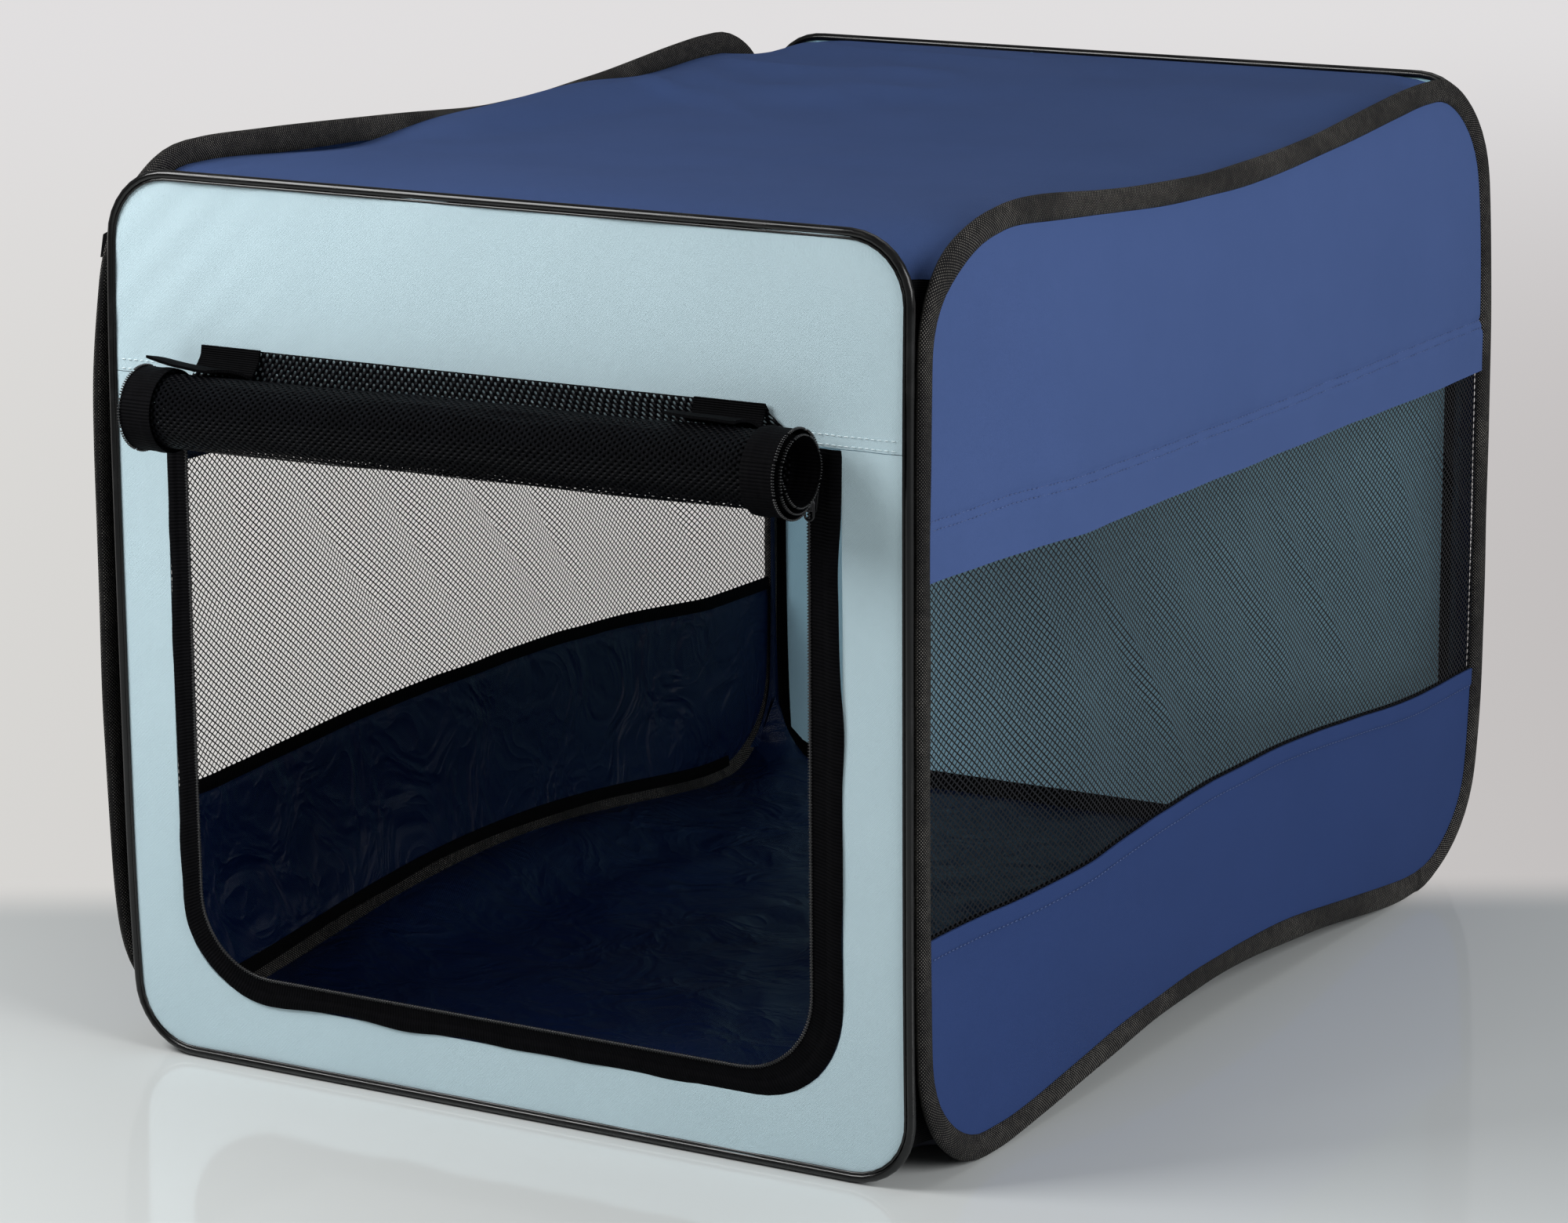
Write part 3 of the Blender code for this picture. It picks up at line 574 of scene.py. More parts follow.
def side_row(z):
    half = SIDE_Y - SIDE_INSET
    radius = SIDE_CORNER_RADIUS - SIDE_INSET
    into = max(SIDE_BASE + SIDE_INSET + radius - z, z - (SIDE_TOP - SIDE_INSET - radius), 0.0)
    return half - radius + math.sqrt(max(0.0, radius**2 - into**2))


def end_row(z):
    """Half the width of an end panel at this level, inside its piping's round corners."""
    radius = END_CORNER_RADIUS
    into = clamp(max(END_BASE + radius - z, z - (END_TOP - radius)), 0.0, radius)
    return END_X - radius + math.sqrt(radius**2 - into**2)


def corner_drop(distance, start, radius):
    into = min(max(0.0, distance - start), CORNER_TURN_SHARE * radius)
    return radius - math.sqrt(radius**2 - into**2)


def corner_bend(x, y):
    """How far the roof's cloth drops, and the floor's rises, to follow the hoops' round corners."""
    to_end, to_side = CLOTH_EDGE_Y - abs(y) + 0.0005, CLOTH_EDGE_X - abs(x) + 0.0005
    near_end = ramp(1 - to_end / ROOF_CORNER_REACH)
    near_side = ramp(1 - to_side / ROOF_CORNER_REACH)
    at_end = corner_drop(abs(x), END_X - END_CORNER_RADIUS, END_CORNER_RADIUS) * near_end
    at_side = corner_drop(abs(y), SIDE_Y - SIDE_CORNER_RADIUS, SIDE_CORNER_RADIUS) * near_side
    return (at_end * to_side + at_side * to_end) / (to_side + to_end)


def tuck_corner(point, x, y):
    """Draws the tips of the roof and floor cloth in under the hoops' round corners."""
    tip = ramp((abs(x) - 0.2) / 0.0257) * ramp((abs(y) - 0.285) / 0.032)
    point.x -= math.copysign(0.006 * tip, x)
    point.y -= math.copysign(0.005 * tip, y)
    return point


def roof_point(x, y):
    near_side = ramp((abs(x) - (CLOTH_EDGE_X - ROOF_CORNER_REACH)) / ROOF_CORNER_REACH)
    drop = corner_bend(x, y)
    across = abs(x) / CLOTH_EDGE_X
    sag = WAIST_DIP * waist_share(y) * (ROOF_SAG_SHARE + (1 - ROOF_SAG_SHARE) * across**2)
    return Vector((x, y, ROOF_LEVEL - drop - sag - ROOF_TUCK * near_side))


def floor_point(x, y):
    rise = ramp((abs(x) - (CLOTH_EDGE_X - FLOOR_RAMP)) / FLOOR_RAMP)
    return Vector((x, y, FLOOR_LEVEL + rise * (SIDE_BASE - FLOOR_LEVEL + WAIST_RISE * waist_share(y))))


def roll_corner(index):
    """A fold of the wound door as (y, z)."""
    angle = TURN / ROLL_FACETS * (index - 0.5)
    radius = ROLL_RADIUS - ROLL_PITCH * index / ROLL_FACETS
    return Vector((ROLL_Y + radius * math.cos(angle), ROLL_HEIGHT - radius * math.sin(angle)))


def lumps(a, b, size, seed):
    """Smooth noise over the cloth, about -0.5 to 0.5."""
    return noise.noise(Vector((a / size, b / size, seed)))


def ridge(a, b, size, seed):
    """Noise with sharp crests, as in creased cloth: 0 to 1."""
    return max(0.0, 1 - 3.2 * abs(lumps(a, b, size, seed)))


# Mesh building

def finish_piece(obj, body, node=None, slot=None):
    """Puts the piece on its body, in place of the nodes it stands for, with its slot."""
    if body:
        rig.ride(obj, body)
    if node:
        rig.replaces(obj, *([node] if isinstance(node, str) else node))
    if slot:
        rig.slot(obj, slot)
    return obj


def make_object(name, points, faces, materials, flat=None, picks=None):
    """A smooth mesh object. flat gives (u, v) in metres for each point, and picks a material per face."""
    mesh = bpy.data.meshes.new(name)
    mesh.from_pydata([tuple(point) for point in points], [], faces)
    for material in materials:
        mesh.materials.append(material)
    if flat:
        layer = mesh.uv_layers.new(name="UVMap")
        places = [0.0] * (2 * len(mesh.loops))
        for index, loop in enumerate(mesh.loops):
            places[2 * index : 2 * index + 2] = flat[loop.vertex_index]
        layer.data.foreach_set("uv", places)
    if picks:
        mesh.polygons.foreach_set("material_index", picks)
    mesh.shade_smooth()
    obj = bpy.data.objects.new(name, mesh)
    bpy.context.scene.collection.objects.link(obj)
    return obj


def even(count):
    return [step / count for step in range(count + 1)]


def cloth(name, point, us, vs, flat, materials, facing=None, thickness=0.0):
    """A sheet over the shares us and vs, with the second material on its inside. flat(u, v) is its
    place on the uncut cloth, in metres, and facing is the way that its outside looks."""
    points = [point(u, v) for v in vs for u in us]
    places = [flat(u, v) for v in vs for u in us]
    wide = len(us)
    faces = [
        (start, start + 1, start + wide + 1, start + wide)
        for row in range(len(vs) - 1)
        for start in range(row * wide, row * wide + wide - 1)
    ]
    obj = make_object(name, points, faces, materials, places)
    if facing:
        total = Vector((0, 0, 0))
        for face in obj.data.polygons:
            total += face.normal * face.area
        if total.dot(Vector(facing)) < 0:
            obj.data.flip_normals()
    if thickness:
        solid = obj.modifiers.new("thickness", "SOLIDIFY")
        solid.thickness = thickness
        solid.offset = -1
        if len(materials) > 1:
            solid.material_offset = 1
        apply_modifiers(obj)
        obj.data.set_sharp_from_angle(angle=math.radians(50))
    return obj


def apply_modifiers(obj):
    graph = bpy.context.evaluated_depsgraph_get()
    bpy.context.view_layer.update()
    mesh = bpy.data.meshes.new_from_object(obj.evaluated_get(graph))
    mesh.name = obj.data.name
    obj.modifiers.clear()
    obj.data = mesh


def join_pieces(name, parts):
    """One object from several, which keep their materials and flat places."""
    target = parts[0]
    with bpy.context.temp_override(active_object=target, selected_editable_objects=parts, object=target):
        bpy.ops.object.join()
    target.name = name
    target.data.name = name
    return target


def arc(centre, radius, start, end, steps=10):
    points = []
    for step in range(steps + 1):
        angle = math.radians(start + (end - start) * step / steps)
        points.append(Vector((centre[0] + radius * math.cos(angle), centre[1] + radius * math.sin(angle))))
    return points


def rounded_loop(half, low, high, radius):
    return (
        arc((half - radius, low + radius), radius, -90, 0)
        + arc((half - radius, high - radius), radius, 0, 90)
        + arc((radius - half, high - radius), radius, 90, 180)
        + arc((radius - half, low + radius), radius, 180, 270)
    )


def u_line(left, right, low, top, turn):
    """A U that is open at its top, with round lower corners."""
    return (
        [Vector((left, top))]
        + arc((left + turn, low + turn), turn, 180, 270)
        + arc((right - turn, low + turn), turn, -90, 0)
        + [Vector((right, top))]
    )


def opening_line(top):
    half = OPENING_WIDTH / 2
    return u_line(OPENING_SHIFT - half, OPENING_SHIFT + half, OPENING_SILL, top, OPENING_CORNER_RADIUS)


def line_length(line):
    return sum((b - a).length for a, b in zip(line, line[1:]))


def evenly(points, step, closed=True):
    """Points spaced evenly along a line, close to the given step."""
    line = points + points[:1] if closed else points
    runs = [(b - a).length for a, b in zip(line, line[1:])]
    total = sum(runs)
    count = max(2, round(total / step))
    spaced, index, passed = [], 0, 0.0
    for number in range(count if closed else count + 1):
        want = total * number / count
        while index < len(runs) - 1 and passed + runs[index] < want:
            passed += runs[index]
            index += 1
        spaced.append(line[index].lerp(line[index + 1], clamp((want - passed) / max(runs[index], 1e-9))))
    return spaced, total


def sweep(name, path, section, place, material, closed=True, step=0.006, puff=None):
    """A section swept along a line in a panel's plane. section gives (outwards, depth) points, and puff
    changes their size along the way."""
    spaced, total = evenly(path, step, closed)
    count = len(spaced)
    points, places = [], []
    round_length = [0.0]
    for a, b in zip(section, section[1:] + section[:1]):
        round_length.append(round_length[-1] + math.dist(a, b))
    for number, here in enumerate(spaced):
        before = spaced[number - 1] if closed or number else here
        after = spaced[(number + 1) % count] if closed or number + 1 < count else here
        along = (after - before).normalized()
        out = Vector((along.y, -along.x))
        wide, deep = puff(number / count, here) if puff else (1.0, 1.0)
        for (reach, depth), length in zip(section, round_length):
            spot = here + out * reach * wide
            points.append(place((spot.x, spot.y, depth * deep)))
            places.append((total * number / count, length))
    ring = len(section)
    faces = []
    for number in range(count if closed else count - 1):
        base, ahead = number * ring, (number + 1) % count * ring
        for corner in range(ring):
            turn = (corner + 1) % ring
            faces.append((base + corner, base + turn, ahead + turn, ahead + corner))
    if not closed:
        faces.append(tuple(range(ring))[::-1])
        faces.append(tuple((count - 1) * ring + corner for corner in range(ring)))
    obj = make_object(name, points, faces, [material], places)
    face_outwards(obj)
    return obj


def face_outwards(obj):
    shape = bmesh.new()
    shape.from_mesh(obj.data)
    bmesh.ops.recalc_face_normals(shape, faces=shape.faces)
    if shape.calc_volume(signed=True) < 0:
        bmesh.ops.reverse_faces(shape, faces=shape.faces)
    shape.to_mesh(obj.data)
    shape.free()


def oval(width, thickness, sides, shift=(0.0, 0.0)):
    turns = [TURN * side / sides for side in range(sides)]
    return [(shift[0] + width / 2 * math.cos(a), shift[1] + thickness / 2 * math.sin(a)) for a in turns]


def beads(name, ends, out, width, material, height=0.7):
    """Many small spindles, as stitches or teeth: each has two ends, and out gives its upright side."""
    points, faces = [], []
    for (start, end), up in zip(ends, out):
        along = (end - start).normalized()
        across = along.cross(up).normalized()
        base = len(points)
        points += [start, end]
        for share in (0.25, 0.75):
            middle = start.lerp(end, share)
            points += [middle + across * width / 2, middle + up * width * height,
                       middle - across * width / 2, middle - up * width * height * 0.5]
        for side in range(4):
            turn = (side + 1) % 4
            faces += [
                (base, base + 2 + turn, base + 2 + side),
                (base + 2 + side, base + 2 + turn, base + 6 + turn, base + 6 + side),
                (base + 1, base + 6 + side, base + 6 + turn),
            ]
    obj = make_object(name, points, faces, [material], [(0.0, 0.0)] * len(points))
    face_outwards(obj)
    return obj


def stitch_row(name, line, out, material, width=0.0006):
    """A row of stitches along a line of points in space."""
    pitch = STITCH_LENGTH + STITCH_GAP
    spaced, _ = evenly(line, pitch, closed=False)
    ends = [(a.lerp(b, 0.04), a.lerp(b, STITCH_LENGTH / pitch)) for a, b in zip(spaced, spaced[1:])]
    return beads(name, ends, [out] * len(ends), width, material)


# Front and back panels with their piping

def end_wrinkle(x, z, seed):
    swell = 0.0011 * lumps(x, z, 0.11, seed) + 0.0007 * lumps(x, z * 0.6, 0.045, seed + 3)
    return swell * ramp((END_X - abs(x)) / 0.03)


def front_point(x, z):
    """The front cloth: it swells a little, and puckers along the seam and towards the upper left corner."""
    near_seam = math.exp(-(((z - FRONT_SEAM_HEIGHT) / 0.012) ** 2))
    pucker = 0.0005 * near_seam * math.sin(x * TURN / 0.017 + 6 * lumps(x, 0.0, 0.05, 9.0))
    corner = math.hypot(x + 0.19, z - 0.41)
    pleat = 0.0004 * math.exp(-((corner / 0.05) ** 2)) * math.sin((x - z) * TURN / 0.028)
    return end_place(-END_Y)((x, z, -0.0008 - end_wrinkle(x, z, 1.5) - pucker - pleat))


def build_front():
    low, high = FRONT_SEAM_HEIGHT + 0.0002, END_TOP - EDGE_MARGIN
    span = high - low

    def upper(u, v):
        z = low + span * v
        return front_point((2 * u - 1) * (end_row(z) - EDGE_MARGIN), z)

    levels = [0, 0.02, 0.04] + [0.04 + 0.64 * share for share in even(14)[1:]]
    levels += [1 - 0.32 * (1 - share) ** 1.6 for share in even(14)[1:]]
    flat = lambda u, v: (CRATE_WIDTH * u, low + span * v)
    upper_piece = cloth("front_upper_cloth", upper, even(70), levels, flat, [PALE], (0, -1, 0), CLOTH_THICK)
    finish_piece(upper_piece, "front", "front_upper_panel", "pale_cloth")

    seam = FRONT_SEAM_HEIGHT - 0.0002
    wide = END_X - EDGE_MARGIN
    outer = u_line(-wide, wide, END_BASE, seam, END_CORNER_RADIUS)
    outer_line, inner_line = matched(outer, opening_line(seam), (36, 12, 44, 12, 36))

    def frame_spot(u, v):
        index = round(u * (len(outer_line) - 1))
        return outer_line[index].lerp(inner_line[index], v)

    def frame_flat(u, v):
        spot = frame_spot(u, v)
        return (spot.x + END_X, spot.y)

    piece = cloth("front_frame_cloth", lambda u, v: front_point(*frame_spot(u, v)), even(len(outer_line) - 1),
                  even(8), frame_flat, [PALE], (0, -1, 0), CLOTH_THICK)
    finish_piece(piece, "front", "front_frame_panel", "pale_cloth")
    # The cut-out leaves 0.229 of the flat sheet.
    height = FRONT_SEAM_HEIGHT - END_BASE
    area = CRATE_WIDTH * height - OPENING_WIDTH * (FRONT_SEAM_HEIGHT - OPENING_SILL)
    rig.sheet(piece, flat=(CRATE_WIDTH, height), held="stretched", rests_on=["front_bead"],
             area=max(area, 0.301 * CRATE_WIDTH * height), with_pieces=["front_inner_tape"])
    rows = []
    for number, level in enumerate((FRONT_SEAM_HEIGHT + 0.0016, FRONT_SEAM_HEIGHT + 0.0062)):
        line = [front_point(-END_X + 0.006 + (CRATE_WIDTH - 0.012) * share, level) - Vector((0, 0.0002, 0))
                for share in even(90)]
        rows.append(stitch_row(f"seam_row_{number}", line, Vector((0, -1, 0)), PALE_THREAD))
    finish_piece(join_pieces("front_seam_stitches", rows), "front", slot="pale_cloth")
    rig.sheet(upper_piece, flat=(CRATE_WIDTH, span), held="stretched", rests_on=["front_bead"],
             with_pieces=["front_seam_stitches"])


def matched(outer, inner, counts):
    """The same number of points on two lines of five stretches: run, corner, run, corner, run."""
    marks = [0, 1, 11, 12, 22, 23]
    lines = []
    for line in (outer, inner):
        points = []
        for (first, last), count in zip(zip(marks, marks[1:]), counts):
            stretch = line[first : last + 1]
            points += evenly(stretch, line_length(stretch) / count, False)[0][:-1]
        lines.append(points + [line[-1]])
    return lines


def build_back():
    low, high = END_BASE + EDGE_MARGIN, END_TOP - EDGE_MARGIN
    span = high - low
    place = end_place(END_Y)

    def at(u, v):
        z = low + span * v
        x = (2 * u - 1) * (end_row(z) - EDGE_MARGIN)
        return place((x, z, 0.0008 + 2.0 * end_wrinkle(x, z, 7.5)))

    half = [0.14 * share**1.6 for share in even(10)]
    levels = half + [0.14 + 0.72 * share for share in even(26)[1:-1]] + [1 - part for part in half[::-1]]
    flat = lambda u, v: (CRATE_WIDTH * u, span * v)
    # The inside takes the pale twill's copy with painted light.
    piece = cloth("back_cloth", at, even(48), levels, flat, [PALE, PALE_INSIDE_PAINTED_LIGHT], (0, 1, 0), CLOTH_THICK)
    finish_piece(piece, "back", "back_panel", "pale_cloth")
    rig.sheet(piece, flat=(CRATE_WIDTH, span), held="stretched", rests_on=["back_bead"],
             with_pieces=["back_inner_tape"])


def build_piping(name, y, out):
    """A glossy bead round the end, with the stitched lip that joins it to the cloth."""
    place = end_place(y)
    loop = rounded_loop(END_X, END_BASE, END_TOP, END_CORNER_RADIUS)
    bead = sweep(name + "_bead_core", loop, oval(PIPING_DIAMETER, PIPING_DIAMETER, 12), place, PIPING)
    lip_loop = rounded_loop(END_X - 0.0025, END_BASE + 0.0025, END_TOP - 0.0025, END_CORNER_RADIUS - 0.0025)
    lip = sweep(name + "_lip", lip_loop, oval(0.0015, 0.0014, 8, (0.0, out * 0.0013)), place, PIPING)
    piece = join_pieces(name + "_bead", [bead, lip])
    finish_piece(piece, name, name + "_piping", "piping")


# Sides: bindings, cloth bands and net windows

SIDE_LEVELS = {
    "lower": (SIDE_BASE + SIDE_INSET, LOWER_BAND_HEIGHT),
    "upper": (UPPER_BAND_HEIGHT, SIDE_TOP - SIDE_INSET),
}


def side_wrinkle(side, y, z):
    """Folds in the side's cloth and net, strongest in the net, and none at the binding."""
    seed = 11.0 + side
    fade = ramp((SIDE_Y - 0.004 - abs(y)) / 0.06) * ramp((z - SIDE_BASE) / 0.04) * ramp((SIDE_TOP - z) / 0.05)
    slack = math.exp(-(((z - 0.205) / 0.07) ** 2))
    broad = 0.0040 * lumps(y, z * 0.7, 0.16, seed) + 0.0014 * lumps(y + z * 0.5, z, 0.05, seed + 2)
    folds = 0.0032 * slack * (ridge(y * 0.9 + z * 0.75, z * 0.25, 0.06, seed + 5) - 0.3)
    return fade * (broad + folds)


def side_surface(side):
    place = side_place(side)
    return lambda y, z, depth: place((y, z, depth + side_wrinkle(side, y, z)))


def build_side_band(side, name, part, cloth_finish):
    at = side_surface(side)
    low, high = SIDE_LEVELS[part]
    if part == "upper":
        fine = [low + 0.0016 * step for step in range(21)]
        corner = high - SIDE_CORNER_RADIUS + SIDE_INSET
        rows = fine + [fine[-1] + (corner - fine[-1]) * share for share in even(10)[1:]]
        rows += [corner + (high - corner) * math.sin(share * math.pi / 2) for share in even(9)[1:]]
    else:
        corner = low + SIDE_CORNER_RADIUS - SIDE_INSET
        rows = [corner - (corner - low) * math.cos(share * math.pi / 2) for share in even(9)]
        rows += [corner + (high - 0.012 - corner) * share for share in even(6)[1:]]
        rows += [high - 0.012 + 0.0015 * step for step in range(1, 9)]

    def proud(y, z):
        """The doubled hem stands out, and is drawn in along its stitches."""
        if part == "lower":
            return 0.0008 * ramp((z - (high - 0.011)) / 0.002)
        hem = 0.0012 * (1 - ramp((z - 0.3165) / 0.0035))
        pull = sum(math.exp(-(((z - level) / 0.0018) ** 2)) for level in HEM_STITCHES)
        ripple = 0.0005 * math.sin(y * TURN / 0.013 + 5 * lumps(y, z, 0.04, 3.0))
        ripple *= math.exp(-(((z - 0.3175) / 0.009) ** 2))
        return hem - 0.0007 * pull + ripple

    def point(u, v):
        z = rows[round(v * (len(rows) - 1))]
        y = (2 * u - 1) * side_row(z)
        return at(y, z, 0.0006 + proud(y, z))

    def flat(u, v):
        z = rows[round(v * (len(rows) - 1))]
        return ((2 * u - 1) * side_row(z), z)

    band = cloth(f"{name}_{part}_cloth", point, even(84), even(len(rows) - 1), flat, [cloth_finish, NAVY],
                 (side, 0, 0), BAND_THICK)
    finish_piece(band, name + "_side", f"{name}_{part}_band", "blue_cloth")
    lines = HEM_STITCHES if part == "upper" else (high - 0.0095,)
    stitches = []
    for number, level in enumerate(lines):
        half = side_row(level) - 0.006
        along = [(2 * share - 1) * half for share in even(140)]
        line = [at(y, level, 0.0009 + proud(y, level)) for y in along]
        stitches.append(stitch_row(f"row_{number}", line, Vector((side, 0, 0)), BLUE_THREAD, width=0.0005))
    finish_piece(join_pieces(f"{name}_{part}_stitches", stitches), name + "_side", slot="blue_cloth")
    trims = [f"{name}_band_trim", f"{name}_floor_tape"] if part == "lower" else []
    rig.sheet(band, flat=(2 * SIDE_Y, high - low), held="stretched", rests_on=[name + "_tunnel"],
             with_pieces=[f"{name}_{part}_stitches"] + trims)


def build_net(side, name):
    """The window's net with its real holes: diamond cells whose edges are the yarn."""
    at = side_surface(side)
    low, high = LOWER_BAND_HEIGHT - 0.004, UPPER_BAND_HEIGHT + 0.004
    half = SIDE_Y - SIDE_INSET - 0.001
    wide, tall = NET_WIDE / 2, NET_HIGH / 2
    columns, rows = int(2 * half / wide) // 2 * 2, int((high - low) / tall) // 2 * 2
    points, places, faces, index = [], [], [], {}

    def node(column, row):
        if (column, row) not in index:
            index[column, row] = len(points)
            y, z = column * wide - half, low + row * tall
            points.append(at(y, z, 0.0))
            places.append((y, z))
        return index[column, row]

    for row in range(1, rows):
        for column in range(1 + (row + 1) % 2, columns, 2):
            rim = [node(column + 1, row), node(column, row + 1), node(column - 1, row), node(column, row - 1)]
            y, z = column * wide - half, low + row * tall
            first = len(points)
            for across, up in ((1, 0), (0, 1), (-1, 0), (0, -1)):
                spot = (y + across * wide * NET_HOLE_SHARE, z + up * tall * NET_HOLE_SHARE)
                points.append(at(*spot, 0.0))
                places.append(spot)
            for corner in range(4):
                turn = (corner + 1) % 4
                faces.append((rim[corner], rim[turn], first + turn, first + corner))
    obj = make_object(name + "_net", points, faces, [NET], places)
    if side == LEFT:
        obj.data.flip_normals()
    finish_piece(obj, name + "_side", name + "_mesh_window", "mesh")
    share = 1 - NET_HOLE_SHARE**2
    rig.sheet(obj, flat=(2 * half, high - low), held="stretched",
             rests_on=[f"{name}_upper_cloth", f"{name}_lower_cloth"], area=share * 2 * half * (high - low))


def build_binding(side, name):
    """A soft woven tunnel round the side's hoop: it puckers along its length."""
    place = side_place(side)
    loop = rounded_loop(SIDE_Y, SIDE_BASE, SIDE_TOP, SIDE_CORNER_RADIUS)

    def puff(share, here):
        """The tape's fullness, and its width, which is less where the edge is drawn in."""
        full = 1 + 0.14 * noise.noise(Vector((36 * share, side * 3.0, 0.5)))
        drawn = 1 - ramp((SIDE_Y + side * here.x) / 0.03)
        drawn *= bow_share(clamp((here.y - SIDE_BASE) / (SIDE_TOP - SIDE_BASE)))
        from_turn = math.hypot(SIDE_Y + side * here.x - 0.015, SIDE_TOP - 0.02 - here.y)
        turn = math.exp(-((from_turn / 0.025) ** 2))
        return full * (1 - 0.38 * drawn + 0.3 * turn), full

    section = oval(BINDING_WIDTH + 0.0015, BINDING_THICKNESS + 0.001, 16)
    piece = sweep(name + "_tunnel", loop, section, place, BINDING, step=0.004, puff=puff)
    finish_piece(piece, name + "_side", name + "_binding", "binding")
    # The declared width isn't measured: the way round this tunnel is 0.033.
    length = evenly(loop, 0.01)[1]
    extra = ["left_side_tab_web"] if side == LEFT else []
    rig.sheet(piece, flat=(0.021, length), held="folded", rests_on=[name + "_hoop_wire"], with_pieces=extra)
    spring = oval(SPRING_DIAMETER, SPRING_DIAMETER, 8)
    wire = sweep(name + "_hoop_spring", loop, spring, place, STEEL, step=0.005)
    finish_piece(wire, name + "_side", name + "_hoop_wire", "spring_steel")


def build_side_trims(side, name):
    """Inside the crate: black tape along the lower band's top, and along the floor."""
    at = side_surface(side)
    body = name + "_side"
    trims = (("band_trim", 0.1135, 0.1215, -0.0012), ("floor_tape", 0.0085, 0.0185, -0.0014))
    for trim, low, high, depth in trims:
        def point(u, v):
            z = low + (high - low) * v
            y = (2 * u - 1) * (side_row(low) - 0.004)
            return at(y, z, depth - 0.0009 * math.sin(math.pi * v))

        length = 2 * side_row(low) - 0.008
        flat = lambda u, v: (length * u, (high - low) * v)
        piece = cloth(f"{name}_{trim}", point, even(72), even(4), flat, [TRIM], (-side, 0, 0), TAPE_THICK)
        finish_piece(piece, body, slot="zip_tape")


# Roof and floor

def roof_surface(x, y):
    point = roof_point(x, y)
    fade = ramp((CLOTH_EDGE_X - abs(x)) / 0.035) * ramp((CLOTH_EDGE_Y - abs(y)) / 0.035)
    broad = 0.0042 * lumps(x, y, 0.19, 21.0) + 0.0012 * lumps(x, y, 0.06, 23.0)
    slack = ramp((y - 0.02) / 0.1) * ramp((0.07 - x) / 0.12)
    folds = 0.0042 * slack * (ridge(x * 0.55 + y * 0.8, x * 0.5 - y * 0.2, 0.065, 27.0) - 0.25)
    rolled = math.exp(-(((y - 0.03) / 0.12) ** 4)) * ramp((-0.165 - x) / 0.045)
    point.z += fade * (broad + folds) + ROOF_ROLL_RISE * rolled
    return tuck_corner(point, x, y)


def floor_surface(x, y):
    point = floor_point(x, y)
    fade = ramp((CLOTH_EDGE_X - abs(x)) / 0.03) * ramp((CLOTH_EDGE_Y - abs(y)) / 0.03)
    folds = 0.0030 * ridge(x, y * 0.55, 0.075, 31.0) + 0.0020 * ridge(x * 0.8 + y * 0.4, y, 0.045, 35.0)
    point.z += fade * (folds + 0.0016 * (0.5 + lumps(x, y, 0.1, 33.0))) + corner_bend(x, y)
    return tuck_corner(point, x, y)


def build_halves(name, surface, crease, finishes, up, columns, rows):
    for side_name, side in SIDES:
        span = side * CLOTH_EDGE_X - crease
        flat = lambda u, v: (crease + span * u, (2 * v - 1) * CLOTH_EDGE_Y)
        point = lambda u, v: surface(*flat(u, v))
        piece = cloth(f"{name}_cloth_{side_name}", point, even(columns), even(rows), flat, finishes,
                      (0, 0, up), CLOTH_THICK)
        slot = "floor_cloth" if name == "floor" else "blue_cloth"
        finish_piece(piece, f"{name}_{side_name}", f"{name}_panel_{side_name}", slot)
        level = ROOF_LEVEL if name == "roof" else FLOOR_LEVEL
        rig.squash(piece, "fold", axis=(0, 0, 1), anchor=(0, 0, level), keep=0.12)
        held = "laid" if name == "floor" else "stretched"
        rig.sheet(piece, flat=(abs(span), 2 * CLOTH_EDGE_Y), held=held, rests_on=[side_name + "_tunnel"])


def build_gussets():
    """Black tape that closes the upright corners between the end's piping and the side's binding. At the
    open pivot it is in two, one on each hoop."""
    for end, end_side in (("front", -1), ("back", 1)):
        for name, side in SIDES:
            at_end, at_side = end_place(end_side * (END_Y - 0.0030)), side_place(side)

            def point(u, v):
                z = GUSSET_BASE + GUSSET_HEIGHT * (0.5 - 0.5 * math.cos(math.pi * v))
                a = at_end((side * (end_row(z) - 0.0035), z, 0.0))
                inset = SIDE_Y - side_row(z) + 0.0035
                b = at_side((end_side * (SIDE_Y - inset), z, -0.0028))
                middle = 0.0018 * math.sin(math.pi * u)
                return a.lerp(b, u) + Vector((-side * middle, -end_side * middle, 0))

            flat = lambda u, v: (GUSSET_HEIGHT * (0.5 - 0.5 * math.cos(math.pi * v)), 0.014 * u)
            label = f"gusset_{end}_{name}"
            rests = [end + "_bead", name + "_tunnel"]
            if (end, name) == ("back", "left"):
                for part, body in (("end", "back"), ("side", "left_side")):
                    def half(u, v):
                        split = min(0.5, OPEN_PIVOT_SPLIT / (point(0, v) - point(1, v)).length)
                        return point(split * u if part == "end" else split + (1 - split) * u, v)

                    piece = cloth(f"{label}_{part}", half, even(4), even(60), flat, [TRIM, NAVY],
                                  (side, end_side, 0), TAPE_THICK)
                    finish_piece(piece, body, slot="zip_tape")
                    declare_gusset(piece, rests)
                continue
            piece = cloth(label, point, even(8), even(60), flat, [TRIM, NAVY],
                          (side, end_side, 0), TAPE_THICK)
            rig.slot(piece, "zip_tape")
            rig.blend(piece, name + "_side", end, start=point(0.9, 0.5), end=point(0.1, 0.5))
            declare_gusset(piece, rests)


def declare_gusset(piece, rests):
    """Declares a gusset by the area of its own mesh, because it flares at its ends, so its measured
    share is 1 by construction."""
    area = sum(face.area for face in piece.data.polygons) / 2
    flat = (max(0.0105, area / GUSSET_HEIGHT), GUSSET_HEIGHT)
    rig.sheet(piece, flat=flat, held="stretched", rests_on=rests, area=max(area, 0.301 * flat[0] * flat[1]))


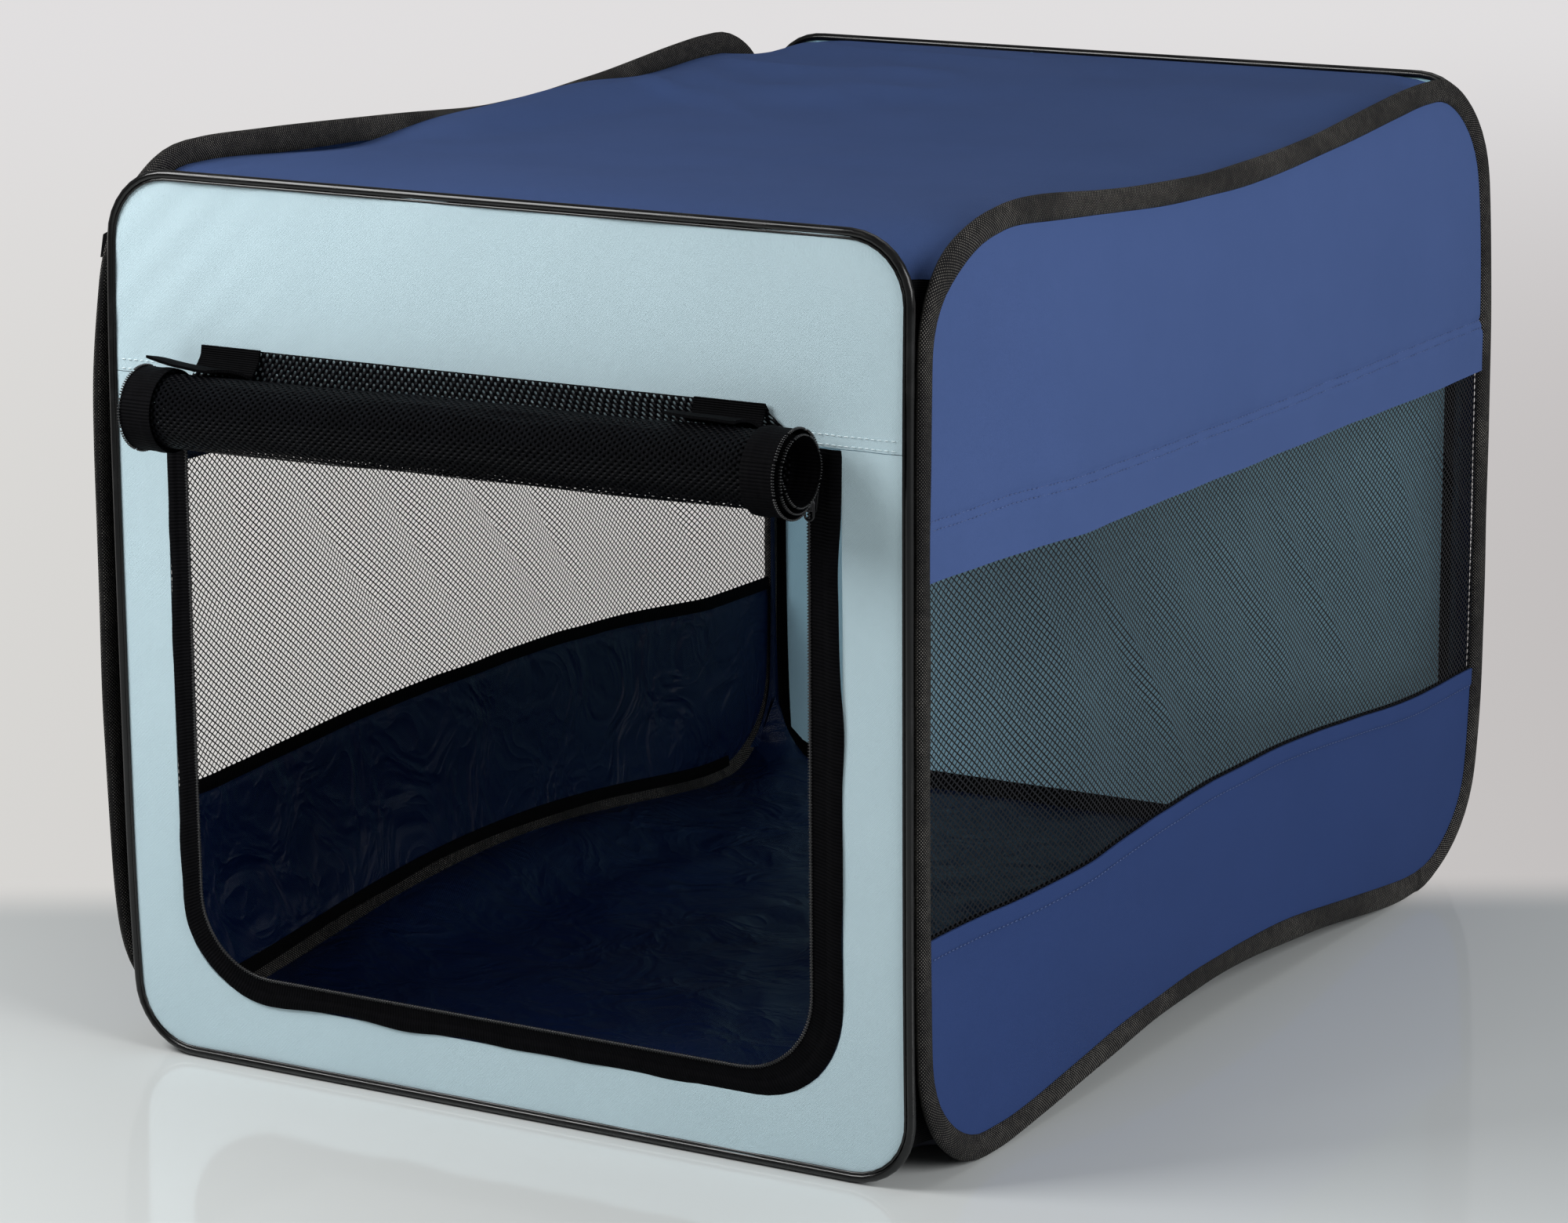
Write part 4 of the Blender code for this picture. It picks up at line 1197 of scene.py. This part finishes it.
def build_end_trims():
    """Black tape inside the upright corners and along the floor's ends."""
    for end, y, out in (("front", -END_Y, 1), ("back", END_Y, -1)):
        place = end_place(y)
        parts = []
        for side in (LEFT, RIGHT):
            def post(u, v):
                x = side * (END_X - 0.003 - 0.0075 * u)
                return place((x, 0.02 + 0.41 * v, out * (0.0016 + 0.0035 * (1 - u) ** 2)))

            flat = lambda u, v: (0.41 * v, 0.009 * u)
            parts.append(cloth(f"post_{side}", post, even(4), even(24), flat, [TRIM],
                               (0, out, 0), TAPE_THICK))

        def sill(u, v):
            x = (2 * u - 1) * 0.2175
            z = floor_point(x, 0.3).z + corner_bend(x, CLOTH_EDGE_Y) + 0.0002 + 0.0095 * v
            x = math.copysign(min(abs(x), end_row(z) - 0.0034), x)
            return place((x, z, out * (0.0018 + 0.0042 * (1 - v) ** 2)))

        flat = lambda u, v: (0.43 * u, 0.009 * v)
        parts.append(cloth("sill", sill, even(40), even(4), flat, [TRIM], (0, out, 0), TAPE_THICK))
        finish_piece(join_pieces(end + "_inner_tape", parts), end, slot="zip_tape")


# Zip round the opening

def build_frame_zip():
    seam = FRONT_SEAM_HEIGHT - 0.0006
    half = ZIP_WIDTH / 2
    inner = u_line(ZIP_SHIFT - half, ZIP_SHIFT + half, ZIP_SILL, seam, ZIP_CORNER_RADIUS)
    outer, inner = matched(opening_line(seam), inner, (60, 16, 70, 16, 60))
    place = end_place(-END_Y)
    count = len(outer) - 1

    def wander(index):
        """The tape's edges wave a little, as sewn cloth does."""
        spot = outer[index]
        return 0.0026 * lumps(spot.x, spot.y, 0.04, 41.0)

    def point(u, v):
        index = round(u * count)
        hem = v < 0.52
        share = v + wander(index) / 0.014 * ((1 - v) if v < 1 else 0.0)
        spot = outer[index].lerp(inner[index], share)
        fold = math.sin(math.pi * clamp(v / 0.52)) if hem else 0.0
        return place((spot.x, spot.y, -0.0012 - 0.0011 * fold))

    widths = [0, 0.06, 0.16, 0.28, 0.4, 0.48, 0.52, 0.56, 0.7, 0.85, 1.0]
    length = evenly(inner, 0.01, False)[1]
    flat = lambda u, v: (length * u, 0.014 * v)
    tape = cloth("frame_zip_cloth", point, even(count), widths, flat, [TAPE], (0, -1, 0), ZIP_THICK)
    finish_piece(tape, "front", "frame_zip_tape", "zip_tape")

    spaced, _ = evenly(inner, FRAME_TOOTH_PITCH, False)
    ends, ups = [], []
    for before, here, after in zip(spaced, spaced[1:], spaced[2:]):
        along = (after - before).normalized()
        out = Vector((along.y, -along.x)) * 0.0013
        ends.append((place((*(here + out), -0.0013)), place((*(here - out), -0.0013))))
        ups.append(Vector((0, -1, 0)))
    teeth = beads("teeth_row", ends, ups, 0.0010, TEETH, height=1.0)
    cord_in = sweep("teeth_cord", inner, oval(0.0011, 0.0011, 6, (0.0, -0.0012)), place, TEETH, closed=False,
                    step=0.004)
    finish_piece(join_pieces("frame_zip_coil", [teeth, cord_in]), "front", "frame_zip_teeth", "zip_teeth")
    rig.sheet(tape, flat=(length, 0.014), held="stretched", rests_on=["front_frame_cloth"],
             with_pieces=["frame_zip_coil"])


def build_sliders():
    """A slider with its bridge, and a pull of bent wire that hangs from it."""
    for name in ("right", "left"):
        low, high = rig.box("zip_slider_" + name)
        centre = (low + high) / 2
        shape = bmesh.new()
        for size, shift in (((0.0070, 0.0012, 0.0108), 0.0008), ((0.0058, 0.0011, 0.0094), -0.0004)):
            made = bmesh.ops.create_cube(shape, size=1)["verts"]
            for vertex in made:
                taper = 1.0 if vertex.co.z > 0 else 0.62
                x, y, z = vertex.co
                vertex.co = Vector((x * size[0] * taper, y * size[1] + shift, z * size[2]))
        bmesh.ops.bevel(shape, geom=list(shape.edges), offset=0.0004, segments=2, affect="EDGES", profile=0.5)
        mesh = bpy.data.meshes.new("slider_" + name)
        shape.to_mesh(mesh)
        shape.free()
        mesh.materials.append(METAL)
        body = bpy.data.objects.new("slider_core_" + name, mesh)
        bpy.context.scene.collection.objects.link(body)
        body.location = centre
        bpy.context.view_layer.update()
        mesh.transform(body.matrix_world)
        body.matrix_world = Matrix.Identity(4)
        front = low.y
        loop = [Vector((centre.z + 0.0035 * math.cos(a), front + 0.0016 - 0.0016 * math.sin(a)))
                for a in [math.pi * share for share in even(8)]]
        over = lambda p: Vector((centre.x + p[2], p[1], p[0]))
        bridge = sweep("bridge", loop, oval(0.0011, 0.0022, 8), over, METAL, closed=False, step=0.0008)
        slider = join_pieces("slider_body_" + name, [body, bridge])
        finish_piece(slider, "slider_" + name, "zip_slider_" + name, "black_metal")
        low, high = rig.box("zip_pull_" + name)
        mid = (low + high) / 2
        half, top = (high.x - low.x) / 2 - 0.0006, high.z - 0.0006
        ring = rounded_loop(half, low.z + 0.0006, top, half * 0.95)
        hang = lambda p: Vector((mid.x + p[0], mid.y + p[2], p[1]))
        pull = sweep("pull_wire_" + name, ring, oval(0.0012, 0.0012, 8), hang, METAL, step=0.001)
        finish_piece(pull, "pull_" + name, "zip_pull_" + name, "black_metal")


# Door, wound up

def facet_middle(index):
    """The middle of a strip, as (y, z); the header's is straight above the first fold."""
    if index == 0:
        return Vector((DOOR_Y, DOOR_FOLDS[0].y + 0.0075))
    return (DOOR_FOLDS[index - 1] + DOOR_FOLDS[index]) / 2


def door_folds():
    left = roll_corner(1).y - (ZIP_SILL + DOOR_BOTTOM_CLEARANCE)
    corners = [roll_corner(1)]
    index = 2
    while left > 0.0012:
        run = roll_corner(index) - corners[-1]
        length = min(run.length, left)
        corners.append(corners[-1] + run.normalized() * length)
        left -= length
        index += 1
    return corners


DOOR_FOLDS = door_folds()
DOOR_RUNS = [(b - a).length for a, b in zip(DOOR_FOLDS, DOOR_FOLDS[1:])]
DOOR_LENGTH = sum(DOOR_RUNS)
NET_LEFT = -0.1795
NET_RIGHT = 0.1655
TAPE_WIDTH = 0.0175


def door_body(index):
    return "front" if index == 0 else f"door_strip_{index:02d}"


def door_half(from_bottom):
    """How far the door's edge is drawn in towards its round lower corners."""
    into = clamp(DOOR_CORNER_RADIUS - from_bottom, 0.0, DOOR_CORNER_RADIUS)
    return DOOR_CORNER_RADIUS - math.sqrt(max(0.0, DOOR_CORNER_RADIUS**2 - into**2))


def roll_sag(x):
    """How much lower than its folds the roll hangs, most at its left."""
    return ROLL_SAG + ROLL_SAG_MIDDLE * ramp((0.16 - x) / 0.12) + ROLL_SAG_LEFT * ramp((0.02 - x) / 0.2)


def lay(x, spot, out=Vector((0, 0)), lift=0.0):
    """A point of the wound door: the whole roll hangs a little lower than its folds."""
    spot = spot + out * lift
    return Vector((x, spot.x, spot.y - roll_sag(x)))


def build_door_net():
    """The door's net from the header down into the roll, a piece round each fold."""
    top, level = DOOR_TOP, facet_middle(0).y

    def header(u, v):
        right = NET_RIGHT - 0.016 * ramp((v - 0.35) / 0.65)
        left = NET_LEFT + 0.0085 * ramp((v - 0.35) / 0.65)
        x = left + (right - left) * u
        bottom = level - roll_sag(x)
        z = bottom + (top - bottom) * v
        sway = 0.0012 * lumps(x, z, 0.05, 51.0) * math.sin(math.pi * v)
        return Vector((x, DOOR_Y - 0.0004 + min(0.0, sway), z))

    flat = lambda u, v: (NET_LEFT + (NET_RIGHT - NET_LEFT) * u, level + (top - level) * v)
    piece = cloth("door_net_header", header, even(40), even(6), flat, [WOUND_NET_PAINTED_SHADE], (0, -1, 0))
    finish_piece(piece, "front", "door_header", "mesh")
    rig.sheet(piece, flat=(NET_RIGHT - NET_LEFT, top - facet_middle(0).y), held="hung",
             rests_on=["front_upper_cloth"], with_pieces=["door_header_tapes"])

    run = 0.0
    for index in range(STRIPS):
        first, corner, last = facet_middle(index), DOOR_FOLDS[index], facet_middle(index + 1)
        reach = (corner - first).length + (last - corner).length
        from_bottom = DOOR_LENGTH - run

        def point(u, v):
            spot = first * (1 - v) ** 2 + corner * 2 * v * (1 - v) + last * v * v
            cut = door_half(from_bottom - reach * (v - 0.5)) if index > STRIPS - 5 else 0.0
            left, right = NET_LEFT + cut, NET_RIGHT - cut
            x = left + (right - left) * u
            middle = Vector((ROLL_Y, ROLL_HEIGHT))
            out = (spot - middle).normalized() if index else Vector((0, 0))
            sway = 0.0011 * lumps(x, index + v, 0.055, 61.0) * math.sin(math.pi * u)
            return lay(x, spot, out, sway)

        base = header_flat(index)
        flat = lambda u, v: (NET_LEFT + (NET_RIGHT - NET_LEFT) * u, base - reach * v)
        piece = cloth(f"door_net_{index + 1:02d}", point, even(40), even(6), flat, [WOUND_NET_PAINTED_SHADE])
        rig.replaces(piece, f"door_strip_{index + 1:02d}")
        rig.slot(piece, "mesh")
        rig.blend(piece, door_body(index), door_body(index + 1), start=lay(0, first), end=lay(0, last))
        tapes = [f"door_tape_right_{index + 1:02d}", f"door_tape_left_{index + 1:02d}"]
        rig.sheet(piece, flat=(NET_RIGHT - NET_LEFT, max(reach, 0.0101)), held="folded",
                 rests_on=["door_net_header"], with_pieces=tapes)
        run += DOOR_RUNS[index]


def header_flat(index):
    """How far down the door's cloth a fold's piece starts, from the header's level."""
    return facet_middle(0).y - sum(
        (DOOR_FOLDS[n] - facet_middle(n)).length + (facet_middle(n + 1) - DOOR_FOLDS[n]).length
        for n in range(index)
    )


def build_door_tapes():
    """The zip tape wound at both ends of the roll, with its coil of teeth. Each strip's piece is drawn
    in towards the middle as the door unrolls, so that the open door has straight edges."""
    below = DOOR_LENGTH
    for index in range(STRIPS):
        start, end, length = DOOR_FOLDS[index], DOOR_FOLDS[index + 1], DOOR_RUNS[index]
        along = (end - start).normalized()
        out = Vector((along.y, -along.x))
        if out.dot((start + end) / 2 - Vector((ROLL_Y, ROLL_HEIGHT))) < 0:
            out = -out
        share = index / (STRIPS - 1)
        bend = length / 2 * math.tan(math.pi / ROLL_FACETS / 2)
        for name, side in SIDES:
            edge = ROLL_LEFT_END - ROLL_LEFT_SPREAD * share
            if side == RIGHT:
                edge = ROLL_RIGHT_END + ROLL_RIGHT_SPREAD * min(1.0, share * 1.4)
            anchor = -side * 0.03
            true_edge = ZIP_SHIFT + side * (ZIP_WIDTH / 2 + 0.001)
            keep = (true_edge - anchor) / (edge - anchor)
            inner = anchor + (true_edge - side * TAPE_WIDTH - anchor) / keep

            def spot(v, lift):
                return start.lerp(end, v) + out * (lift + 4 * bend * v * (1 - v))

            def point(u, v):
                cut = door_half(below - length * v) / keep
                x = inner + (edge - inner) * u - side * cut
                ribbed = 0.0004 * math.sin(math.pi * clamp(u / 0.45)) if u < 0.45 else 0.0
                return lay(x, spot(1.06 * v - 0.03, 0.0008 + ribbed))

            flat = lambda u, v: (length * v + 0.016 * index, TAPE_WIDTH * u)
            piece = cloth("tape", point, [0, 0.08, 0.2, 0.32, 0.42, 0.5, 0.75, 1.0], even(6), flat, [TAPE],
                          (0, out.x, out.y))
            ends, ups = [], []
            count = max(4, round(length / DOOR_TOOTH_PITCH))
            for tooth in range(count):
                v = (tooth + 0.5) / count
                cut = door_half(below - length * v) / keep
                x, place = edge - side * cut, spot(v, 0.0011)
                ends.append((lay(x - side * 0.0012, place), lay(x + side * 0.0010, place)))
                ups.append(Vector((0, out.x, out.y)))
            teeth = beads("teeth", ends, ups, 0.0009, TEETH, height=0.8)
            piece = join_pieces(f"door_tape_{name}_{index + 1:02d}", [piece, teeth])
            finish_piece(piece, door_body(index + 1), slot="zip_tape")
            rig.squash(piece, "door_unroll", axis=(1, 0, 0), anchor=(anchor, 0, 0), keep=min(1.0, keep))
        below -= length


def build_door_hems():
    """The header's own tapes beside its net."""
    low = DOOR_FOLDS[0].y
    parts = []
    for side, edge in ((RIGHT, ZIP_SHIFT + DOOR_WIDTH / 2), (LEFT, ZIP_SHIFT - DOOR_WIDTH / 2)):
        def point(u, v):
            return Vector((edge - side * TAPE_WIDTH * u, DOOR_Y - 0.0008, low - 0.004 + 0.0075 * v))

        flat = lambda u, v: (0.03 * v, TAPE_WIDTH * u)
        parts.append(cloth(f"header_tape_{side}", point, even(4), even(6), flat, [TAPE],
                           (0, -1, 0), TAPE_THICK))
    finish_piece(join_pieces("door_header_tapes", parts), "front", slot="zip_tape")


# Straps and the tab

def build_straps():
    middle = Vector((ROLL_Y, ROLL_HEIGHT))
    places = (("left", -0.1715, -0.1365, 0.0045), ("right", 0.1115, 0.1495, 0.001))
    for name, low_x, high_x, raised in places:
        mid_x = (low_x + high_x) / 2
        radius = ROLL_RADIUS + 0.0004
        line = [Vector((DOOR_Y - 0.0020, STRAP_TOP)), Vector((DOOR_Y - 0.0024, STRAP_BEND))]
        for angle in STRAP_ANGLES:
            turn = math.radians(angle)
            line.append(middle + Vector((radius * math.cos(turn), radius * math.sin(turn) - roll_sag(mid_x))))
        line, length = evenly(line, 0.0022, False)

        def point(u, v):
            spot = line[round(v * (len(line) - 1))]
            curl = 0.0006 * lumps(u, v, 0.4, 71.0) * v
            lift = raised * (v * (1 - u)) ** 2
            x = low_x + (high_x - low_x) * u - 4 * raised * v * v
            return Vector((x, spot.x - curl, spot.y + curl + lift))

        flat = lambda u, v: (length * v, STRAP_WIDTH * u)
        strap = cloth(name + "_strap_web", point, even(14), even(len(line) - 1), flat, [TRIM], (0, -0.5, 1),
                      WEB_THICK)
        finish_piece(strap, "strap_" + name, name + "_strap", "binding")
        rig.squash(strap, "door_unroll", axis=(0, 1, 0), anchor=(0, DOOR_Y - 0.0012, 0), keep=0.12)
        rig.sheet(strap, flat=(STRAP_WIDTH, length), held="folded", rests_on=["door_net_01"])


def build_tab():
    def point(u, v):
        z = TAB_BASE + TAB_HEIGHT * v
        root = side_place(LEFT)((-SIDE_Y, z, BINDING_THICKNESS / 2 - 0.0006))
        bend = 0.0012 * math.sin(math.pi * u)
        return root + Vector((-TAB_REACH * u, 0.0007 - bend, -0.0025 * u))

    flat = lambda u, v: (0.012 * v, 0.008 * u)
    tab = cloth("left_side_tab_web", point, even(8), even(6), flat, [TRIM], (0, -1, 0), WEB_THICK)
    finish_piece(tab, "left_side", "left_side_tab", "binding")


# Studio

def aim(obj, place, target):
    obj.location = place
    obj.rotation_euler = (Vector(target) - Vector(place)).to_track_quat("-Z", "Y").to_euler()


def build_camera():
    data = bpy.data.cameras.new("photo_camera")
    data.sensor_width = 36.0
    data.lens = 36.0 * FOCAL_PIXELS / PHOTO_WIDTH
    camera = bpy.data.objects.new("photo_camera", data)
    bpy.context.scene.collection.objects.link(camera)
    bpy.context.scene.camera = camera
    level = math.cos(CAMERA_PITCH)
    forward = Vector((math.sin(CAMERA_YAW) * level, math.cos(CAMERA_YAW) * level, math.sin(CAMERA_PITCH)))
    right = Vector((math.cos(CAMERA_YAW), -math.sin(CAMERA_YAW), 0.0))
    up = right.cross(forward)
    turned = right * math.cos(CAMERA_ROLL) + up * math.sin(CAMERA_ROLL)
    raised = -right * math.sin(CAMERA_ROLL) + up * math.cos(CAMERA_ROLL)
    basis = Matrix((turned, raised, -forward)).transposed()
    camera.matrix_world = Matrix.Translation(CAMERA_PLACE) @ basis.to_4x4()


def build_light(name, place, target, size, power):
    data = bpy.data.lights.new(name, "AREA")
    data.size = size
    data.energy = power
    lamp = bpy.data.objects.new(name, data)
    bpy.context.scene.collection.objects.link(lamp)
    aim(lamp, place, target)


def build_stage():
    """A pale glassy floor, darker towards the right with painted shade, whose far part glows in the wall's tone, with
    painted shade towards the right and painted light further away, and soft lamps at a plain level.
    """
    bpy.ops.mesh.primitive_plane_add(size=14, location=(0, 0, -0.0004))
    floor = bpy.context.object
    floor.name = "floor"
    material, tree, shader, *_, spot = start_material("pale_floor", 0.07, Specular_IOR_Level=0.3)
    place = add(tree, "SeparateXYZ", {0: spot})
    away = calc(tree, "ADD", calc(tree, "MULTIPLY", place.outputs[0], math.sin(CAMERA_YAW)),
                calc(tree, "MULTIPLY", place.outputs[1], math.cos(CAMERA_YAW)))
    across = calc(tree, "SUBTRACT", calc(tree, "MULTIPLY", place.outputs[0], math.cos(CAMERA_YAW)),
                  calc(tree, "MULTIPLY", place.outputs[1], math.sin(CAMERA_YAW)))
    # Painted shade: the floor darkens towards the right.
    tone = smooth(tree, across, -0.6, 0.7)
    near = mix_colour(tree, tone, (0.66, 0.685, 0.68), (0.60, 0.63, 0.635))
    tree.links.new(near, shader.inputs["Base Color"])
    path = add(tree, "LightPath")
    seen = calc(tree, "MAXIMUM", path.outputs["Is Camera Ray"], path.outputs["Is Glossy Ray"])
    seen = calc(tree, "MAXIMUM", seen, path.outputs["Is Transmission Ray"])
    # Painted light on the far part's glow: darker towards the right, lighter further away.
    far = mix_colour(tree, smooth(tree, across, -0.9, 1.1), (0.70, 0.69, 0.67), (0.50, 0.475, 0.475))
    far = mix_colour(tree, smooth(tree, away, 0.5, 4.5), far, (0.75, 0.735, 0.74))
    glow = add(tree, "Emission", {"Color": far, "Strength": 1.0})
    share = calc(tree, "MULTIPLY", seen, smooth(tree, away, 0.06, 0.14))
    both = add(tree, "MixShader", {0: share, 1: shader.outputs[0], 2: glow.outputs[0]})
    tree.links.new(both.outputs[0], tree.nodes["Material Output"].inputs["Surface"])
    floor.data.materials.append(material)
    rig.stage(floor)
    world = bpy.data.worlds.new("studio")
    bpy.context.scene.world = world
    world.use_nodes = True
    tree = world.node_tree
    tree.nodes.clear()
    path = add(tree, "LightPath")
    seen = calc(tree, "MAXIMUM", path.outputs["Is Camera Ray"], path.outputs["Is Transmission Ray"])
    room = add(tree, "Background", {"Color": (1.0, 1.0, 1.0, 1), "Strength": 0.18})
    wall = add(tree, "Background", {"Color": (0.74, 0.725, 0.725, 1), "Strength": 1.0})
    both = add(tree, "MixShader", {0: seen, 1: room.outputs[0], 2: wall.outputs[0]})
    add(tree, "OutputWorld", {0: both.outputs[0]})
    build_light("key", (-0.65, -0.9, 1.0), (-0.05, -0.32, 0.3), 0.6, 13)
    build_light("fill", (2.6, -0.6, 1.3), (0.1, 0, 0.2), 1.4, 55)
    build_light("top", (0.2, 0.5, 2.2), (0, 0, 0.3), 1.4, 8)
    bpy.context.scene.view_settings.view_transform = "Standard"


for wire in ("back_hoop_wire", "front_hoop_wire"):
    frame["nodes"][wire].data.materials.clear()
    frame["nodes"][wire].data.materials.append(STEEL)

build_camera()
build_stage()
build_tab()
build_end_trims()
build_door_hems()
build_door_tapes()
build_piping("front", -END_Y, -1)
build_piping("back", END_Y, 1)
for hoop, hoop_side in SIDES:
    build_side_trims(hoop_side, hoop)
    build_binding(hoop_side, hoop)
    build_side_band(hoop_side, hoop, "upper", BLUE)
    # The lower band takes the blue twill darkened with painted shade.
    build_side_band(hoop_side, hoop, "lower", LOWER_SHADED_BLUE)
    build_net(hoop_side, hoop)
build_front()
build_back()
# The roof takes the blue twill darkened with painted shade.
build_halves("roof", roof_surface, -CREASE_OFFSET, [ROOF_SHADED_BLUE, NAVY], 1, 44, 110)
build_halves("floor", floor_surface, CREASE_OFFSET, [NAVY, BASE_CLOTH], 1, 44, 110)
build_gussets()
build_frame_zip()
build_sliders()
build_door_net()
build_straps()

json.dump({"cad": [list(corner) for corner in cad_box], "visual": [list(corner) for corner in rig.bounds()]},
          open("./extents.json", "w"))
